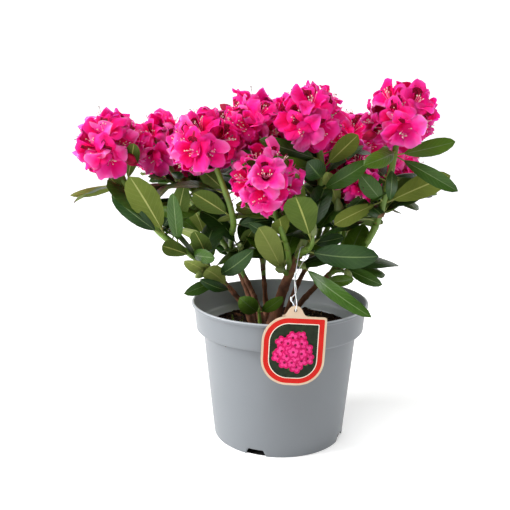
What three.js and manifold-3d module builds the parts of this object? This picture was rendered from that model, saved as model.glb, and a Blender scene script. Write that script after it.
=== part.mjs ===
// A broad-leaved azalea (an evergreen rhododendron hybrid) in bloom, in its nursery pot with a hanging label.
// Millimetres, +Z up, the origin at the middle of the pot's underside, the front of the plant towards -Y.
import * as THREE from "three";
import { mergeVertices } from "three/addons/utils/BufferGeometryUtils.js";
import Module from "manifold-3d";

const wasm = await Module();
wasm.setup();

// Clearance between pieces that touch
const CLEAR = 0.35;
const UP = new THREE.Vector3(0, 0, 1);
// How finely a path is sampled to find its stations
const FINE = 400;

// The pot: a 23 cm container with a deep rim band and a rolled lip. It stands on the disc in the middle of its
// floor and on a notched foot ring, with a raised drain channel between them.
const POT = {
  height: 183,
  rimRadius: 116.5,
  bandRadius: 110.8,
  bandBottom: 149,
  bodyTopRadius: 101.4,
  footRadius: 87,
  wall: 2,
  lip: 4,
  lipOverhang: 3.3,
  lipRound: 1,
  shoulder: 5,
  underBand: 1.8,
  bandFoot: 3,
  channel: 9,
  disc: 66,
  sides: 32,
  notches: 4,
  notchTurn: -111,
  notchWidth: 28,
  notchHeight: 8,
  notchSlant: 4,
};
const COMPOST_TOP = 149;
const COMPOST_SIDES = 20;

// The label: a card with three round corners, one sharp one and a tab, hung on a looped string
const LABEL = {
  centre: [12.1, -116.9, 152],
  lean: 2.5,
  width: 75,
  height: 85,
  corner: 32,
  sharpCorner: 4,
  tabWidth: 30,
  tabHeight: 12.5,
  holeDrop: 5.7,
  thickness: 1,
  hole: 2.2,
};

// The string: its two strands meet in a knot between the label and the bough that it hangs from
const STRING = {
  radius: 0.6,
  knot: [16.2, -62, 229],
  cross: [15.6, -88, 216.5],
  bead: [9.6, -103, 211],
  knotRadius: 1.7,
  wrap: 5.4,
  wrapAt: 0.66,
  sides: 4,
  turn: 28,
  run: 16,
};

// Stems rise nearly upright from the compost: lean tips their feet over by a share of how far they reach, and
// flare widens them there. foot is where each stands, tip where it forks, girth its radius at both.
const STEM = { lean: 0.004, ease: 0.36, flare: 0.5, sunk: 4, sides: 7 };
const STEMS = [
  { name: "stem_main", foot: [-9, -14], tip: [21, -28, 248], girth: [7.5, 5.4] },
  { name: "stem_left", foot: [-23, -1], tip: [-54, 18, 222], girth: [4.9, 4] },
  { name: "stem_left_low", foot: [-34, -14], tip: [-98, -30, 236], girth: [4.6, 3.8] },
  { name: "stem_centre", foot: [-17, 13], tip: [-24, 24, 236], girth: [4.2, 3.5] },
  { name: "stem_right", foot: [11, -2], tip: [92, -2, 238], girth: [4.7, 4.1] },
  { name: "stem_rear_right", foot: [9, 19], tip: [52, 62, 236], girth: [4.4, 3.8] },
  { name: "stem_rear_left", foot: [-33, 17], tip: [-72, 72, 236], girth: [4.4, 3.8] },
];

// Boughs leave a stem at a share of its length, its tip unless at says otherwise, and carry one mass each.
const BOUGHS = [
  { name: "bough_top", from: "stem_main", tip: [47, -28, 332], girth: 5 },
  { name: "bough_front", from: "stem_main", at: 0.62, tip: [4, -46, 270], girth: 3.4 },
  { name: "bough_bud", from: "stem_main", at: 0.9, tip: [33, -54, 262], girth: 4.2 },
  { name: "bough_mid", from: "stem_main", tip: [68, -16, 270], girth: 3.6 },
  { name: "bough_left_front", from: "stem_left", tip: [-61, -30, 282], girth: 3.9 },
  { name: "bough_left_rear", from: "stem_left", at: 0.9, tip: [-106, 36, 292], girth: 3.7 },
  { name: "bough_left_outer", from: "stem_left_low", tip: [-134, -31, 262], girth: 4.2 },
  { name: "bough_centre", from: "stem_centre", tip: [-32, 4, 328], girth: 3.7 },
  { name: "bough_back", from: "stem_centre", at: 0.8, tip: [-18, 90, 312], girth: 3.7 },
  { name: "bough_right_outer", from: "stem_right", tip: [121, -18, 288], girth: 4.5 },
  { name: "bough_right_low", from: "stem_right", at: 0.7, tip: [84, 18, 276], girth: 3.4 },
  { name: "bough_right_rear", from: "stem_rear_right", tip: [84, 76, 316], girth: 3.7 },
  { name: "bough_right_back", from: "stem_rear_right", at: 0.85, tip: [128, 96, 282], girth: 3.7 },
  { name: "bough_back_right", from: "stem_rear_right", at: 0.7, tip: [66, 128, 282], girth: 3.7 },
  { name: "bough_back_left", from: "stem_rear_left", tip: [-106, 108, 292], girth: 3.8 },
];

// Flowering masses. head is the middle of the flower head and spread its radius. A leaf listed here is one
// that stands out on the plant: up is its share of the way from the foot of the mass to the head, and
// azimuth (0 is +X, -90 the front), lift and length say how it reaches.
const FLOWERING = [
  {
    name: "mass_top", from: "bough_top", head: [31, -22, 419], spread: 49,
    leaves: [
      { up: 0.28, azimuth: -138, lift: 8, length: 104 },
      { up: 0.28, azimuth: -69, lift: 36, length: 66 },
      { up: 0.24, azimuth: -40, lift: 12, length: 78 },
      { up: 0.24, azimuth: -100, lift: 22, length: 62 },
      { up: 0.2, azimuth: 172, lift: 20, length: 84 },
    ],
  },
  {
    name: "mass_right_outer", from: "bough_right_outer", head: [145, -20, 420], spread: 47,
    leaves: [
      { up: 0.1, azimuth: -10, lift: 33, length: 94 },
      { up: 0.06, azimuth: 14, lift: 22, length: 84 },
      { up: 0.1, azimuth: -141, lift: -10, length: 88 },
      { up: 0.14, azimuth: 178, lift: 58, length: 56 },
      { up: 0.6, azimuth: -18, lift: 24, length: 78 },
      { up: 0.58, azimuth: -42, lift: -30, length: 84 },
      { up: 0.56, azimuth: -132, lift: 0, length: 92 },
      { up: 0.6, azimuth: -92, lift: 16, length: 66 },
    ],
  },
  {
    name: "mass_left_outer", from: "bough_left_outer", head: [-215, -12, 384], spread: 45,
    leaves: [
      { up: 0.14, azimuth: -148, lift: 52, length: 96 },
      { up: 0.12, azimuth: -180, lift: 46, length: 102 },
      { up: 0.06, azimuth: -168, lift: 36, length: 88 },
      { up: 0.1, azimuth: -64, lift: 66, length: 82 },
      { up: 0.62, azimuth: -174, lift: -14, length: 74 },
      { up: 0.6, azimuth: -70, lift: 34, length: 60 },
    ],
  },
  {
    name: "mass_left_front", from: "bough_left_front", head: [-93, -56, 390], spread: 44,
    leaves: [
      { up: 0.12, azimuth: -134, lift: 40, length: 82 },
      { up: 0.1, azimuth: -52, lift: 18, length: 74 },
      { up: 0.5, azimuth: -100, lift: 2, length: 66 },
    ],
  },
  { name: "mass_centre", from: "bough_centre", head: [-33, 0, 407], spread: 42, leaves: [] },
  {
    name: "mass_front", from: "bough_front", head: [-23, -76, 347], spread: 38,
    leaves: [{ up: 0.2, azimuth: -160, lift: 6, length: 72 }],
  },
  {
    name: "mass_left_rear", from: "bough_left_rear", head: [-163, 52, 380], spread: 42,
    leaves: [{ up: 0.12, azimuth: -70, lift: 60, length: 76 }],
  },
  { name: "mass_right_rear", from: "bough_right_rear", head: [93, 80, 389], spread: 42, leaves: [] },
  { name: "mass_right_low", from: "bough_right_low", head: [91, 8, 341], spread: 34, leaves: [] },
  { name: "mass_right_back", from: "bough_right_back", head: [166, 116, 350], spread: 42, leaves: [] },
  { name: "mass_back", from: "bough_back", head: [-8, 118, 392], spread: 45, leaves: [] },
  { name: "mass_back_right", from: "bough_back_right", head: [76, 170, 344], spread: 43, leaves: [] },
  { name: "mass_back_left", from: "bough_back_left", head: [-126, 140, 362], spread: 44, leaves: [] },
];

// Leafy masses end in a bud. tip is the bud's place. A leaf's tilt turns its face to its right, seen along it.
const LEAFY = [
  {
    name: "mass_bud_front", from: "bough_bud", tip: [37, -66, 284],
    leaves: [
      { up: 0.3, azimuth: -109, lift: 55, length: 84 },
      { up: 0.7, azimuth: -140, lift: 62, length: 80 },
      { up: 0.1, azimuth: -33, lift: -6, length: 98 },
    ],
  },
  {
    name: "mass_mid_right", from: "bough_mid", tip: [74, -20, 300],
    leaves: [{ up: 0.2, azimuth: -40, lift: 32, length: 76 }],
  },
  {
    name: "mass_main_low", from: "stem_main", at: 0.64, tip: [0, -42, 232],
    leaves: [{ up: 0.5, azimuth: -126, lift: 52, length: 88 }],
  },
  {
    name: "mass_low_right", from: "stem_right", at: 0.72, tip: [84, -30, 226],
    leaves: [
      { up: 0.6, azimuth: -36, lift: -14, length: 76 },
      { up: 0.6, azimuth: 20, lift: -4, length: 66 },
    ],
  },
  {
    name: "mass_low_left", from: "stem_left_low", at: 0.8, tip: [-100, -48, 228],
    leaves: [
      { up: 0.5, azimuth: -150, lift: 34, length: 66 },
      { up: 0.5, azimuth: -98, lift: 46, length: 62 },
      { up: 0.2, azimuth: -140, lift: 2, length: 68 },
    ],
  },
  { name: "mass_low_centre", from: "stem_left", at: 0.8, tip: [-52, -30, 258], leaves: [] },
  { name: "mass_back_low", from: "stem_centre", at: 0.7, tip: [-8, 66, 256], leaves: [] },
  { name: "mass_right_back_low", from: "stem_rear_right", at: 0.75, tip: [104, 62, 246], leaves: [] },
  { name: "mass_left_back_low", from: "stem_rear_left", at: 0.75, tip: [-112, 80, 246], leaves: [] },
  {
    name: "mass_bud_low", bare: true, from: "stem_main", at: 0.88, tip: [24, -40, 240],
    leaves: [{ up: 0.8, azimuth: -42, lift: -22, length: 114 }],
  },
  {
    name: "mass_foot_sprout", bare: true, foot: [-26, -42, COMPOST_TOP], tip: [-28, -46, 184],
    leaves: [
      { up: 0.8, azimuth: -150, lift: 24, length: 38, tilt: -50 },
      { up: 0.8, azimuth: -26, lift: 32, length: 40, tilt: 50 },
    ],
  },
];

// Whorls that the rule fills: how far up, how many leaves, their lift above the level and their length
const FLOWERING_WHORLS = [
  { up: 0.1, count: 5, lift: 34, length: 88 },
  { up: 0.44, count: 6, lift: 3, length: 84 },
];
const LEAFY_WHORLS = [
  { up: 0.35, count: 4, lift: 16, length: 82 },
  { up: 0.85, count: 4, lift: 44, length: 80 },
];
const GOLDEN_TURN = 137.5;
// How far a leaf of a whorl strays from its place: up, azimuth and lift either way, length from least to most
const STRAY = { up: 0.035, azimuth: 8, lift: 11, length: [0.86, 1.16] };
// Radii of a mass's own stem: the most at its foot, then its tip below a flower head or a bud, and a sprout's
const SHOOT = { flowering: 4.6, underHead: 3.4, leafy: 3.2, underBud: 2, sprout: 2.4 };
const BUD = { radius: 4.2, half: 9 };
// Leaves: the share of length that is clear of the crowd, width to length, half their thickness on the blade
// and on the stalk, their arch and the roll of their edges, and how near a listed leaf a whorl leaves one out
const LEAF = {
  free: 0.2,
  slender: 0.43,
  half: 0.6,
  stalkHalf: 0.96,
  arch: 0.09,
  roll: 0.16,
  apart: 40,
  level: 0.25,
};
// Half widths of a leaf at stations along it: stalk, foot of the blade, widest part, point
const LEAF_OUTLINE = [0.09, 0.11, 1, 0];
const LEAF_STATIONS = [0, 0.17, 0.52, 1];

// Florets of a flower head, in rings counted from its axis
const FLORET_RINGS = [
  { polar: 0, count: 1 },
  { polar: 58, count: 5 },
  { polar: 102, count: 5 },
];
// A floret's sizes as shares of its head's spread, and the hub that all of them stand on
const FLORET = { root: 0.21, rim: 0.9, radius: 0.5, throat: 0.45, notch: 0.62, lobes: 5 };
const FLORET_STRAY = { spin: 0.16, polar: 4 };
const HUB = 0.3;
// A piece that has no room is tried again smaller or turned before it is left out
const FLORET_SIZES = [1, 0.88, 0.76];
const LEAF_TURNS = [0, 24, -24];

/** Random numbers from 0 to 1 that are the same on every run. */
function seeded(seed) {
  let state = seed >>> 0;
  return () => {
    state = (state + 0x6d2b79f5) >>> 0;
    let t = Math.imul(state ^ (state >>> 15), state | 1);
    t ^= t + Math.imul(t ^ (t >>> 7), t | 61);
    return ((t ^ (t >>> 14)) >>> 0) / 4294967296;
  };
}

/** A random number up to a most either way. */
function stray(most, random) {
  return 2 * most * (random() - 0.5);
}

/** A closed geometry as a solid: corners merged, faces with no area left out. */
function toSolid(geometry) {
  const bare = new THREE.BufferGeometry();
  bare.setAttribute("position", geometry.getAttribute("position"));
  bare.setIndex(geometry.index);
  const merged = mergeVertices(bare, 1e-4);
  const corners = merged.index.array;
  const kept = [];
  for (let i = 0; i < corners.length; i += 3) {
    const [a, b, c] = corners.slice(i, i + 3);
    if (a !== b && b !== c && c !== a) kept.push(a, b, c);
  }
  return new wasm.Manifold(
    new wasm.Mesh({
      numProp: 3,
      vertProperties: new Float32Array(merged.attributes.position.array),
      triVerts: new Uint32Array(kept),
    }),
  );
}

/** A solid as a geometry for a mesh. */
function toGeometry(solid) {
  const mesh = solid.getMesh();
  const geometry = new THREE.BufferGeometry();
  geometry.setAttribute("position", new THREE.BufferAttribute(mesh.vertProperties, mesh.numProp));
  geometry.setIndex(new THREE.BufferAttribute(mesh.triVerts, 1));
  geometry.computeVertexNormals();
  return geometry;
}

/** The largest of a solid's separate bodies: loose scraps are dropped. */
function largest(solid) {
  const bodies = solid.decompose();
  return bodies.reduce((best, body) => (body.volume() > best.volume() ? body : best));
}

/** Moves each vertex of a geometry to where move(x, y, z, target) puts it. */
function reshape(geometry, move) {
  const position = geometry.getAttribute("position");
  const target = new THREE.Vector3();
  for (let i = 0; i < position.count; i++) {
    move(position.getX(i), position.getY(i), position.getZ(i), target);
    position.setXYZ(i, target.x, target.y, target.z);
  }
  return geometry;
}

/** Evenly spaced stations along a path, as shares of its length. */
function evenly(steps) {
  return Array.from({ length: steps + 1 }, (_, k) => k / steps);
}

/** Stations wherever a path has bent by a turn in degrees, or has run on straight for a length. */
function whereBent(path, turn, run) {
  const length = path.getLength();
  const stations = [0];
  let before = path.getTangentAt(0);
  for (let i = 1; i < FINE; i++) {
    const tangent = path.getTangentAt(i / FINE);
    const far = (i / FINE - stations.at(-1)) * length > run;
    if (!far && THREE.MathUtils.radToDeg(tangent.angleTo(before)) < turn) continue;
    stations.push(i / FINE);
    before = tangent;
  }
  return [...stations, 1];
}

/** A tapering round bar bent along a path; grow widens and lengthens it all round. */
function bar(path, startRadius, endRadius, { grow = 0, sides = 6, stations = evenly(4), flare = 0 } = {}) {
  const steps = stations.length - 1;
  const frames = path.computeFrenetFrames(FINE, false);
  const geometry = new THREE.CylinderGeometry(1, 1, 1, sides, steps);
  return reshape(geometry, (x, y, z, target) => {
    const k = Math.round((y + 0.5) * steps);
    const t = stations[k];
    const tangent = frames.tangents[Math.round(t * FINE)];
    const across = frames.normals[Math.round(t * FINE)];
    const other = new THREE.Vector3().crossVectors(across, tangent);
    const radius = startRadius + (endRadius - startRadius) * t + flare * (1 - t) ** 6 + grow;
    target.copy(path.getPointAt(t));
    target.addScaledVector(across, x * radius).addScaledVector(other, z * radius);
    if (k === 0) target.addScaledVector(tangent, -grow);
    if (k === steps) target.addScaledVector(tangent, grow);
  });
}

/** A smooth path from a start, leaving along a lead, to an end. */
function limbPath(start, lead, end, ease = 0.42) {
  const control = start.clone().addScaledVector(lead, ease * start.distanceTo(end));
  return new THREE.QuadraticBezierCurve3(start, control, end);
}

/** The unit direction of an azimuth and a lift, both in degrees. */
function heading(azimuth, lift) {
  const a = THREE.MathUtils.degToRad(azimuth);
  const b = THREE.MathUtils.degToRad(lift);
  return new THREE.Vector3(Math.cos(b) * Math.cos(a), Math.cos(b) * Math.sin(a), Math.sin(b));
}

/** One leaf: a three-sided bar flattened to the blade's outline, arched lengthwise, its edges rolled down. */
function leafSolid(root, leaf) {
  const along = heading(leaf.azimuth, leaf.lift);
  const tilt = THREE.MathUtils.degToRad(leaf.tilt ?? 0);
  const side = new THREE.Vector3().crossVectors(along, UP).normalize().applyAxisAngle(along, tilt);
  const normal = new THREE.Vector3().crossVectors(side, along);
  const halfWidth = (leaf.length * LEAF.slender) / 2;
  const last = LEAF_STATIONS.length - 1;
  const geometry = new THREE.CylinderGeometry(0, 1, 1, 3, last);
  return toSolid(
    reshape(geometry, (x, y, z, target) => {
      const k = Math.round((y + 0.5) * last);
      const t = LEAF_STATIONS[k];
      const size = 1 - k / last;
      const across = size > 0 ? x / size / Math.sin(Math.PI / 3) : 0;
      const deep = size > 0 ? z / size : 0;
      const width = halfWidth * LEAF_OUTLINE[k];
      const rise = LEAF.arch * leaf.length * 4 * t * (1 - t) - LEAF.roll * width * across * across;
      const thick = k < 2 ? LEAF.stalkHalf : LEAF.half;
      target.copy(root).addScaledVector(along, t * leaf.length);
      target.addScaledVector(side, across * width);
      target.addScaledVector(normal, rise + deep * thick);
    }),
  );
}

/** What of a leaf lies beyond the crowd at its stem. */
function bladeOf(solid, root, leaf) {
  const along = heading(leaf.azimuth, leaf.lift);
  return solid.trimByPlane(along.toArray(), along.dot(root) + LEAF.free * leaf.length);
}

/** One floret: a funnel with five lobes, its root near the middle of the head and its mouth facing out. */
function floretSolid(centre, direction, spin, spread) {
  const { lobes, rim, radius, root, throat, notch } = FLORET;
  const profile = [
    new THREE.Vector2(0, root * spread),
    new THREE.Vector2(radius * spread, rim * spread),
    new THREE.Vector2(0, throat * spread),
  ];
  const geometry = new THREE.LatheGeometry(profile, lobes * 2);
  const turn = new THREE.Quaternion().setFromUnitVectors(new THREE.Vector3(0, 1, 0), direction);
  const twist = new THREE.Quaternion().setFromAxisAngle(direction, spin);
  return toSolid(
    reshape(geometry, (x, y, z, target) => {
      const share = Math.round((Math.atan2(x, z) / Math.PI) * lobes) + 2 * lobes;
      const reach = share % 2 === 0 ? 1 : notch;
      target.set(x * reach, y, z * reach).applyQuaternion(turn).applyQuaternion(twist).add(centre);
    }),
  );
}

/** The directions of a head's florets round its axis. */
function floretDirections(axis, random) {
  const side = new THREE.Vector3().crossVectors(axis, new THREE.Vector3(0, 1, 0)).normalize();
  const front = new THREE.Vector3().crossVectors(side, axis);
  return FLORET_RINGS.flatMap(({ polar, count }, ring) =>
    Array.from({ length: count }, (_, i) => {
      const spin = ((i + 0.5 * ring + FLORET_STRAY.spin * random()) / count) * 2 * Math.PI;
      const tilt = THREE.MathUtils.degToRad(polar + stray(FLORET_STRAY.polar, random));
      return axis
        .clone()
        .multiplyScalar(Math.cos(tilt))
        .addScaledVector(side, Math.sin(tilt) * Math.cos(spin))
        .addScaledVector(front, Math.sin(tilt) * Math.sin(spin));
    }),
  );
}

/** The leaves of a mass: those it lists, then those its whorls add where none of the listed ones is near. */
function leavesOf(mass, whorls, turn, random) {
  const listed = mass.leaves.map((leaf) => ({ ...leaf }));
  whorls.forEach(({ up, count, lift, length }, ring) => {
    for (let i = 0; i < count; i++) {
      const leaf = {
        up: up + stray(STRAY.up, random),
        azimuth: turn + ring * GOLDEN_TURN + (i * 360) / count + stray(STRAY.azimuth, random),
        lift: lift + stray(STRAY.lift, random),
        length: length * THREE.MathUtils.lerp(...STRAY.length, random()),
      };
      const crowded = mass.leaves.some((other) => {
        const between = Math.abs(((leaf.azimuth - other.azimuth + 900) % 360) - 180);
        return between < LEAF.apart && Math.abs(other.up - up) < LEAF.level;
      });
      if (!crowded) listed.push(leaf);
    }
  });
  return listed;
}

const plastic = new THREE.MeshStandardMaterial({ color: 0x8d9397, roughness: 0.45, metalness: 0 });
const peat = new THREE.MeshStandardMaterial({ color: 0x2b1a12, roughness: 0.95, metalness: 0 });
const bark = new THREE.MeshStandardMaterial({ color: 0x5a3526, roughness: 0.85, metalness: 0 });
const greenwood = new THREE.MeshStandardMaterial({ color: 0x4f7a1e, roughness: 0.6, metalness: 0 });
const foliage = new THREE.MeshStandardMaterial({ color: 0x3f6128, roughness: 0.5, metalness: 0 });
const blossom = new THREE.MeshStandardMaterial({ color: 0xe61e86, roughness: 0.55, metalness: 0 });
const card = new THREE.MeshStandardMaterial({ color: 0xe2c9a4, roughness: 0.7, metalness: 0 });
const thread = new THREE.MeshStandardMaterial({ color: 0xe8ecee, roughness: 0.6, metalness: 0 });

const plant = new THREE.Group();
// Everything placed so far, and the same a clearance larger, which later pieces are cut or kept back by
const placed = [];

/** Adds a piece to the plant and remembers it, with the room it needs. */
function place(name, solid, material, room = solid) {
  const mesh = new THREE.Mesh(toGeometry(solid), material);
  mesh.name = name;
  plant.add(mesh);
  reserve(name, solid, room);
}

/** Keeps a solid's place free of every piece that comes later, apart from those of its own node. */
function reserve(name, solid, room = solid) {
  placed.push({ name, solid, room, box: room.boundingBox() });
}

/** Whether two bounding boxes come within a margin of each other. */
function near(a, b, margin) {
  return [0, 1, 2].every((k) => a.min[k] - margin < b.max[k] && b.min[k] - margin < a.max[k]);
}

/** What of the other nodes comes near a solid. */
function neighbours(name, solid) {
  const box = solid.boundingBox();
  return placed.filter((other) => other.name !== name && near(box, other.box, CLEAR));
}

/** Whether a solid of a node would come closer than the clearance to another node. */
function touches(name, solid) {
  return neighbours(name, solid).some((other) => solid.minGap(other.solid, 2 * CLEAR) < CLEAR);
}

/** A solid of a node cut back to its clearance from the other nodes. */
function cutBack(name, solid) {
  return largest(neighbours(name, solid).reduce((rest, other) => rest.subtract(other.room), solid));
}

/** The pot: a turned shell with a deep rim band, its foot ring notched so that water drains. */
function makePot() {
  const inner = POT.bodyTopRadius - POT.wall;
  const profile = [
    [0, 0],
    [POT.disc, 0],
    [POT.disc + 1, POT.channel],
    [POT.footRadius - POT.wall, POT.channel],
    [POT.footRadius - POT.wall, 0],
    [POT.footRadius, 0],
    [POT.bodyTopRadius, POT.bandBottom - POT.shoulder],
    [POT.bandRadius - POT.bandFoot, POT.bandBottom - POT.underBand],
    [POT.bandRadius, POT.bandBottom + POT.bandFoot],
    [POT.rimRadius - POT.lipOverhang, POT.height - POT.lip - POT.lipRound],
    [POT.rimRadius, POT.height - POT.lip],
    [POT.rimRadius, POT.height - POT.lipRound],
    [POT.rimRadius - POT.lipRound, POT.height],
    [POT.rimRadius - POT.lipOverhang - POT.wall, POT.height - POT.lipRound / 2],
    [POT.bandRadius - POT.wall, POT.bandBottom + POT.bandFoot],
    [inner, POT.bandBottom + 1 - POT.shoulder],
    [POT.footRadius - POT.wall, POT.channel + POT.wall],
    [POT.disc - 1, POT.channel + POT.wall],
    [POT.disc - 2, POT.wall],
    [0, POT.wall],
  ].map(([x, y]) => new THREE.Vector2(x, y));
  const turned = new THREE.LatheGeometry(profile, POT.sides).rotateX(Math.PI / 2);
  let pot = toSolid(turned);
  const half = POT.notchWidth / 2;
  const top = half - POT.notchSlant;
  const outline = new THREE.Shape([
    new THREE.Vector2(-half, -1),
    new THREE.Vector2(half, -1),
    new THREE.Vector2(top, POT.notchHeight),
    new THREE.Vector2(-top, POT.notchHeight),
  ]);
  const depth = 6 * POT.wall;
  for (let i = 0; i < POT.notches; i++) {
    const cutter = new THREE.ExtrudeGeometry(outline, { depth, bevelEnabled: false, steps: 1 });
    cutter.rotateX(Math.PI / 2).translate(0, depth / 2 - POT.footRadius, 0);
    cutter.rotateZ(THREE.MathUtils.degToRad(POT.notchTurn + 90 + (i * 360) / POT.notches));
    pot = pot.subtract(toSolid(cutter));
  }
  place("pot", pot, plastic);
}

/** The compost that fills the pot to the foot of its rim band. */
function makeCompost() {
  const bottom = POT.channel + POT.wall + CLEAR;
  const slope = (POT.bodyTopRadius - POT.footRadius) / (POT.bandBottom - POT.channel);
  const bottomRadius = POT.footRadius - POT.wall - 2 * CLEAR;
  const shoulder = POT.bandBottom + 1 - POT.shoulder;
  const topRadius = bottomRadius + slope * (shoulder - bottom);
  const profile = [
    [0, POT.wall + CLEAR],
    [POT.disc - 3, POT.wall + CLEAR],
    [POT.disc - 2, bottom],
    [bottomRadius, bottom],
    [topRadius, shoulder],
    [topRadius, COMPOST_TOP],
    [0, COMPOST_TOP],
  ].map(([x, y]) => new THREE.Vector2(x, y));
  const turned = new THREE.LatheGeometry(profile, COMPOST_SIDES).rotateX(Math.PI / 2);
  place("compost", toSolid(turned), peat);
}

/** The label card, with its tab and the hole for the string. */
function makeLabel() {
  const { centre, lean, width, height, corner, sharpCorner, tabWidth, tabHeight } = LABEL;
  const { holeDrop, thickness, hole } = LABEL;
  const [w, h, tab] = [width / 2, height / 2, tabWidth / 2];
  const outline = new THREE.Shape();
  outline.moveTo(corner - w, -h);
  outline.lineTo(w - corner, -h);
  outline.absarc(w - corner, corner - h, corner, -Math.PI / 2, 0);
  outline.lineTo(w, h - sharpCorner);
  outline.quadraticCurveTo(w, h, w - sharpCorner, h);
  outline.lineTo(tab, h);
  outline.bezierCurveTo(tab * 0.5, h, tab * 0.7, h + tabHeight, 0, h + tabHeight);
  outline.bezierCurveTo(-tab * 0.7, h + tabHeight, -tab * 0.5, h, -tab, h);
  outline.lineTo(corner - w, h);
  outline.absarc(corner - w, h - corner, corner, Math.PI / 2, Math.PI);
  outline.lineTo(-w, corner - h);
  outline.absarc(corner - w, corner - h, corner, Math.PI, 1.5 * Math.PI);
  outline.holes.push(new THREE.Path().absarc(0, h + tabHeight - holeDrop, hole, 0, 2 * Math.PI, true));
  const geometry = new THREE.ExtrudeGeometry(outline, {
    depth: thickness,
    bevelEnabled: false,
    steps: 1,
    curveSegments: 5,
  });
  geometry.rotateX(Math.PI / 2).rotateY(THREE.MathUtils.degToRad(lean)).translate(...centre);
  place("label", toSolid(geometry), card);
}

/** The label's string: from a knot through the card's hole, back up, and round a bough. */
function makeString(bough) {
  const { radius, knot, cross, bead, knotRadius, wrap, wrapAt, sides, turn, run } = STRING;
  const { centre, lean, height, tabHeight, holeDrop, thickness } = LABEL;
  const drop = height / 2 + tabHeight - holeDrop;
  const tilt = THREE.MathUtils.degToRad(lean);
  const hole = new THREE.Vector3(drop * Math.sin(tilt), -thickness / 2, drop * Math.cos(tilt));
  hole.add(new THREE.Vector3(...centre));
  const tie = new THREE.Vector3(...knot);
  const middle = bough.path.getPointAt(wrapAt);
  const along = bough.path.getTangentAt(wrapAt);
  const towards = tie.clone().sub(middle).projectOnPlane(along).normalize();
  const across = new THREE.Vector3().crossVectors(along, towards);
  const ring = [75, 125, 180, 235, 285].map((degrees) => {
    const angle = THREE.MathUtils.degToRad(degrees);
    const out = towards.clone().multiplyScalar(wrap * Math.cos(angle));
    return out.addScaledVector(across, wrap * Math.sin(angle)).add(middle);
  });
  const shifted = (point, x, y, z) => new THREE.Vector3(point.x + x, point.y + y, point.z + z);
  const crossing = new THREE.Vector3(...cross);
  const route = [
    shifted(tie, -0.6, 0, 0.6),
    shifted(crossing, -0.6, -0.5, 0.8),
    shifted(hole, 1, -3, 8),
    shifted(hole, 0.2, -1.7, 1.2),
    shifted(hole, 0, 0, -0.8),
    shifted(hole, -0.3, 1.8, 1.2),
    shifted(hole, -2.6, 4, 7),
    new THREE.Vector3(...bead),
    shifted(crossing, 0.9, 0.5, -0.8),
    shifted(tie, 0.7, 0, -0.6),
    ...ring,
    tie,
  ];
  const path = new THREE.CatmullRomCurve3(route, false, "centripetal");
  const strand = bar(path, radius, radius, { sides, stations: whereBent(path, turn, run) });
  const ball = (at, size, tall) => {
    const shape = new THREE.SphereGeometry(size, 5, 3).rotateX(Math.PI / 2).scale(1, 1, tall);
    return toSolid(shape.translate(...at));
  };
  const pieces = [toSolid(strand), ball(knot, knotRadius, 1.2), ball(bead, knotRadius * 0.8, 1.9)];
  place("label_string", wasm.Manifold.union(pieces).simplify(0.02), thread);
}

/** Stems, from a flared foot on the compost to their forks. */
function makeStems() {
  const stems = new Map();
  for (const { name, foot, tip, girth } of STEMS) {
    const start = new THREE.Vector3(...foot, COMPOST_TOP + CLEAR);
    const end = new THREE.Vector3(...tip);
    const lead = end.clone().sub(start).setZ(0).multiplyScalar(STEM.lean).add(UP).normalize();
    const path = limbPath(start, lead, end, STEM.ease);
    stems.set(name, { path, radius: (t) => girth[0] + (girth[1] - girth[0]) * t });
    // The foot is cut flat, level with the compost
    const level = (solid) => solid.trimByPlane([0, 0, 1], COMPOST_TOP + CLEAR);
    const long = path.clone();
    long.v0 = start.clone().addScaledVector(UP, -STEM.sunk);
    const shape = { sides: STEM.sides, stations: evenly(4), flare: STEM.flare * girth[0] };
    const solid = level(toSolid(bar(long, ...girth, shape)));
    const room = level(toSolid(bar(long, ...girth, { ...shape, grow: CLEAR })));
    place(name, cutBack(name, solid), bark, room);
  }
  return stems;
}

/** Boughs, each leaving its stem along the stem's own line and bending to its tip. */
function makeBoughs(stems) {
  const boughs = new Map(stems);
  for (const { name, from, at = 1, tip, girth } of BOUGHS) {
    const parent = stems.get(from);
    const start = parent.path.getPointAt(at);
    const end = new THREE.Vector3(...tip);
    const path = limbPath(start, parent.path.getTangentAt(at), end);
    const startRadius = Math.min(parent.radius(at) * 0.94, girth * 1.12);
    boughs.set(name, { path, radius: () => girth });
    const solid = toSolid(bar(path, startRadius, girth));
    const room = toSolid(bar(path, startRadius, girth, { grow: CLEAR }));
    place(name, cutBack(name, solid), greenwood, room);
  }
  return boughs;
}

/** The stem of a mass: where it starts on its limb, its path and its radius. */
function massStem(mass, limbs) {
  const { at = 1 } = mass;
  const limb = limbs.get(mass.from);
  const start = limb ? limb.path.getPointAt(at) : new THREE.Vector3(...mass.foot);
  const lead = limb ? limb.path.getTangentAt(at) : UP;
  const end = new THREE.Vector3(...(mass.head ?? mass.tip));
  const path = limbPath(start.addScaledVector(lead, CLEAR), lead, end);
  return { path, girth: limb ? limb.radius(at) : SHOOT.sprout };
}

/** A flower head: florets round a small hub, each as large as it has room for. */
function headSolid(name, centre, axis, spread, random) {
  const hub = new THREE.IcosahedronGeometry(HUB * spread, 0).translate(...centre.toArray());
  const pieces = [toSolid(hub)];
  for (const direction of floretDirections(axis, random)) {
    const spin = 2 * Math.PI * random();
    const sized = FLORET_SIZES.map((size) => floretSolid(centre, direction, spin, size * spread));
    const fitting = sized.find((solid) => !touches(name, solid));
    if (fitting) pieces.push(fitting);
  }
  return wasm.Manifold.union(pieces).simplify(0.6);
}

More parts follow.
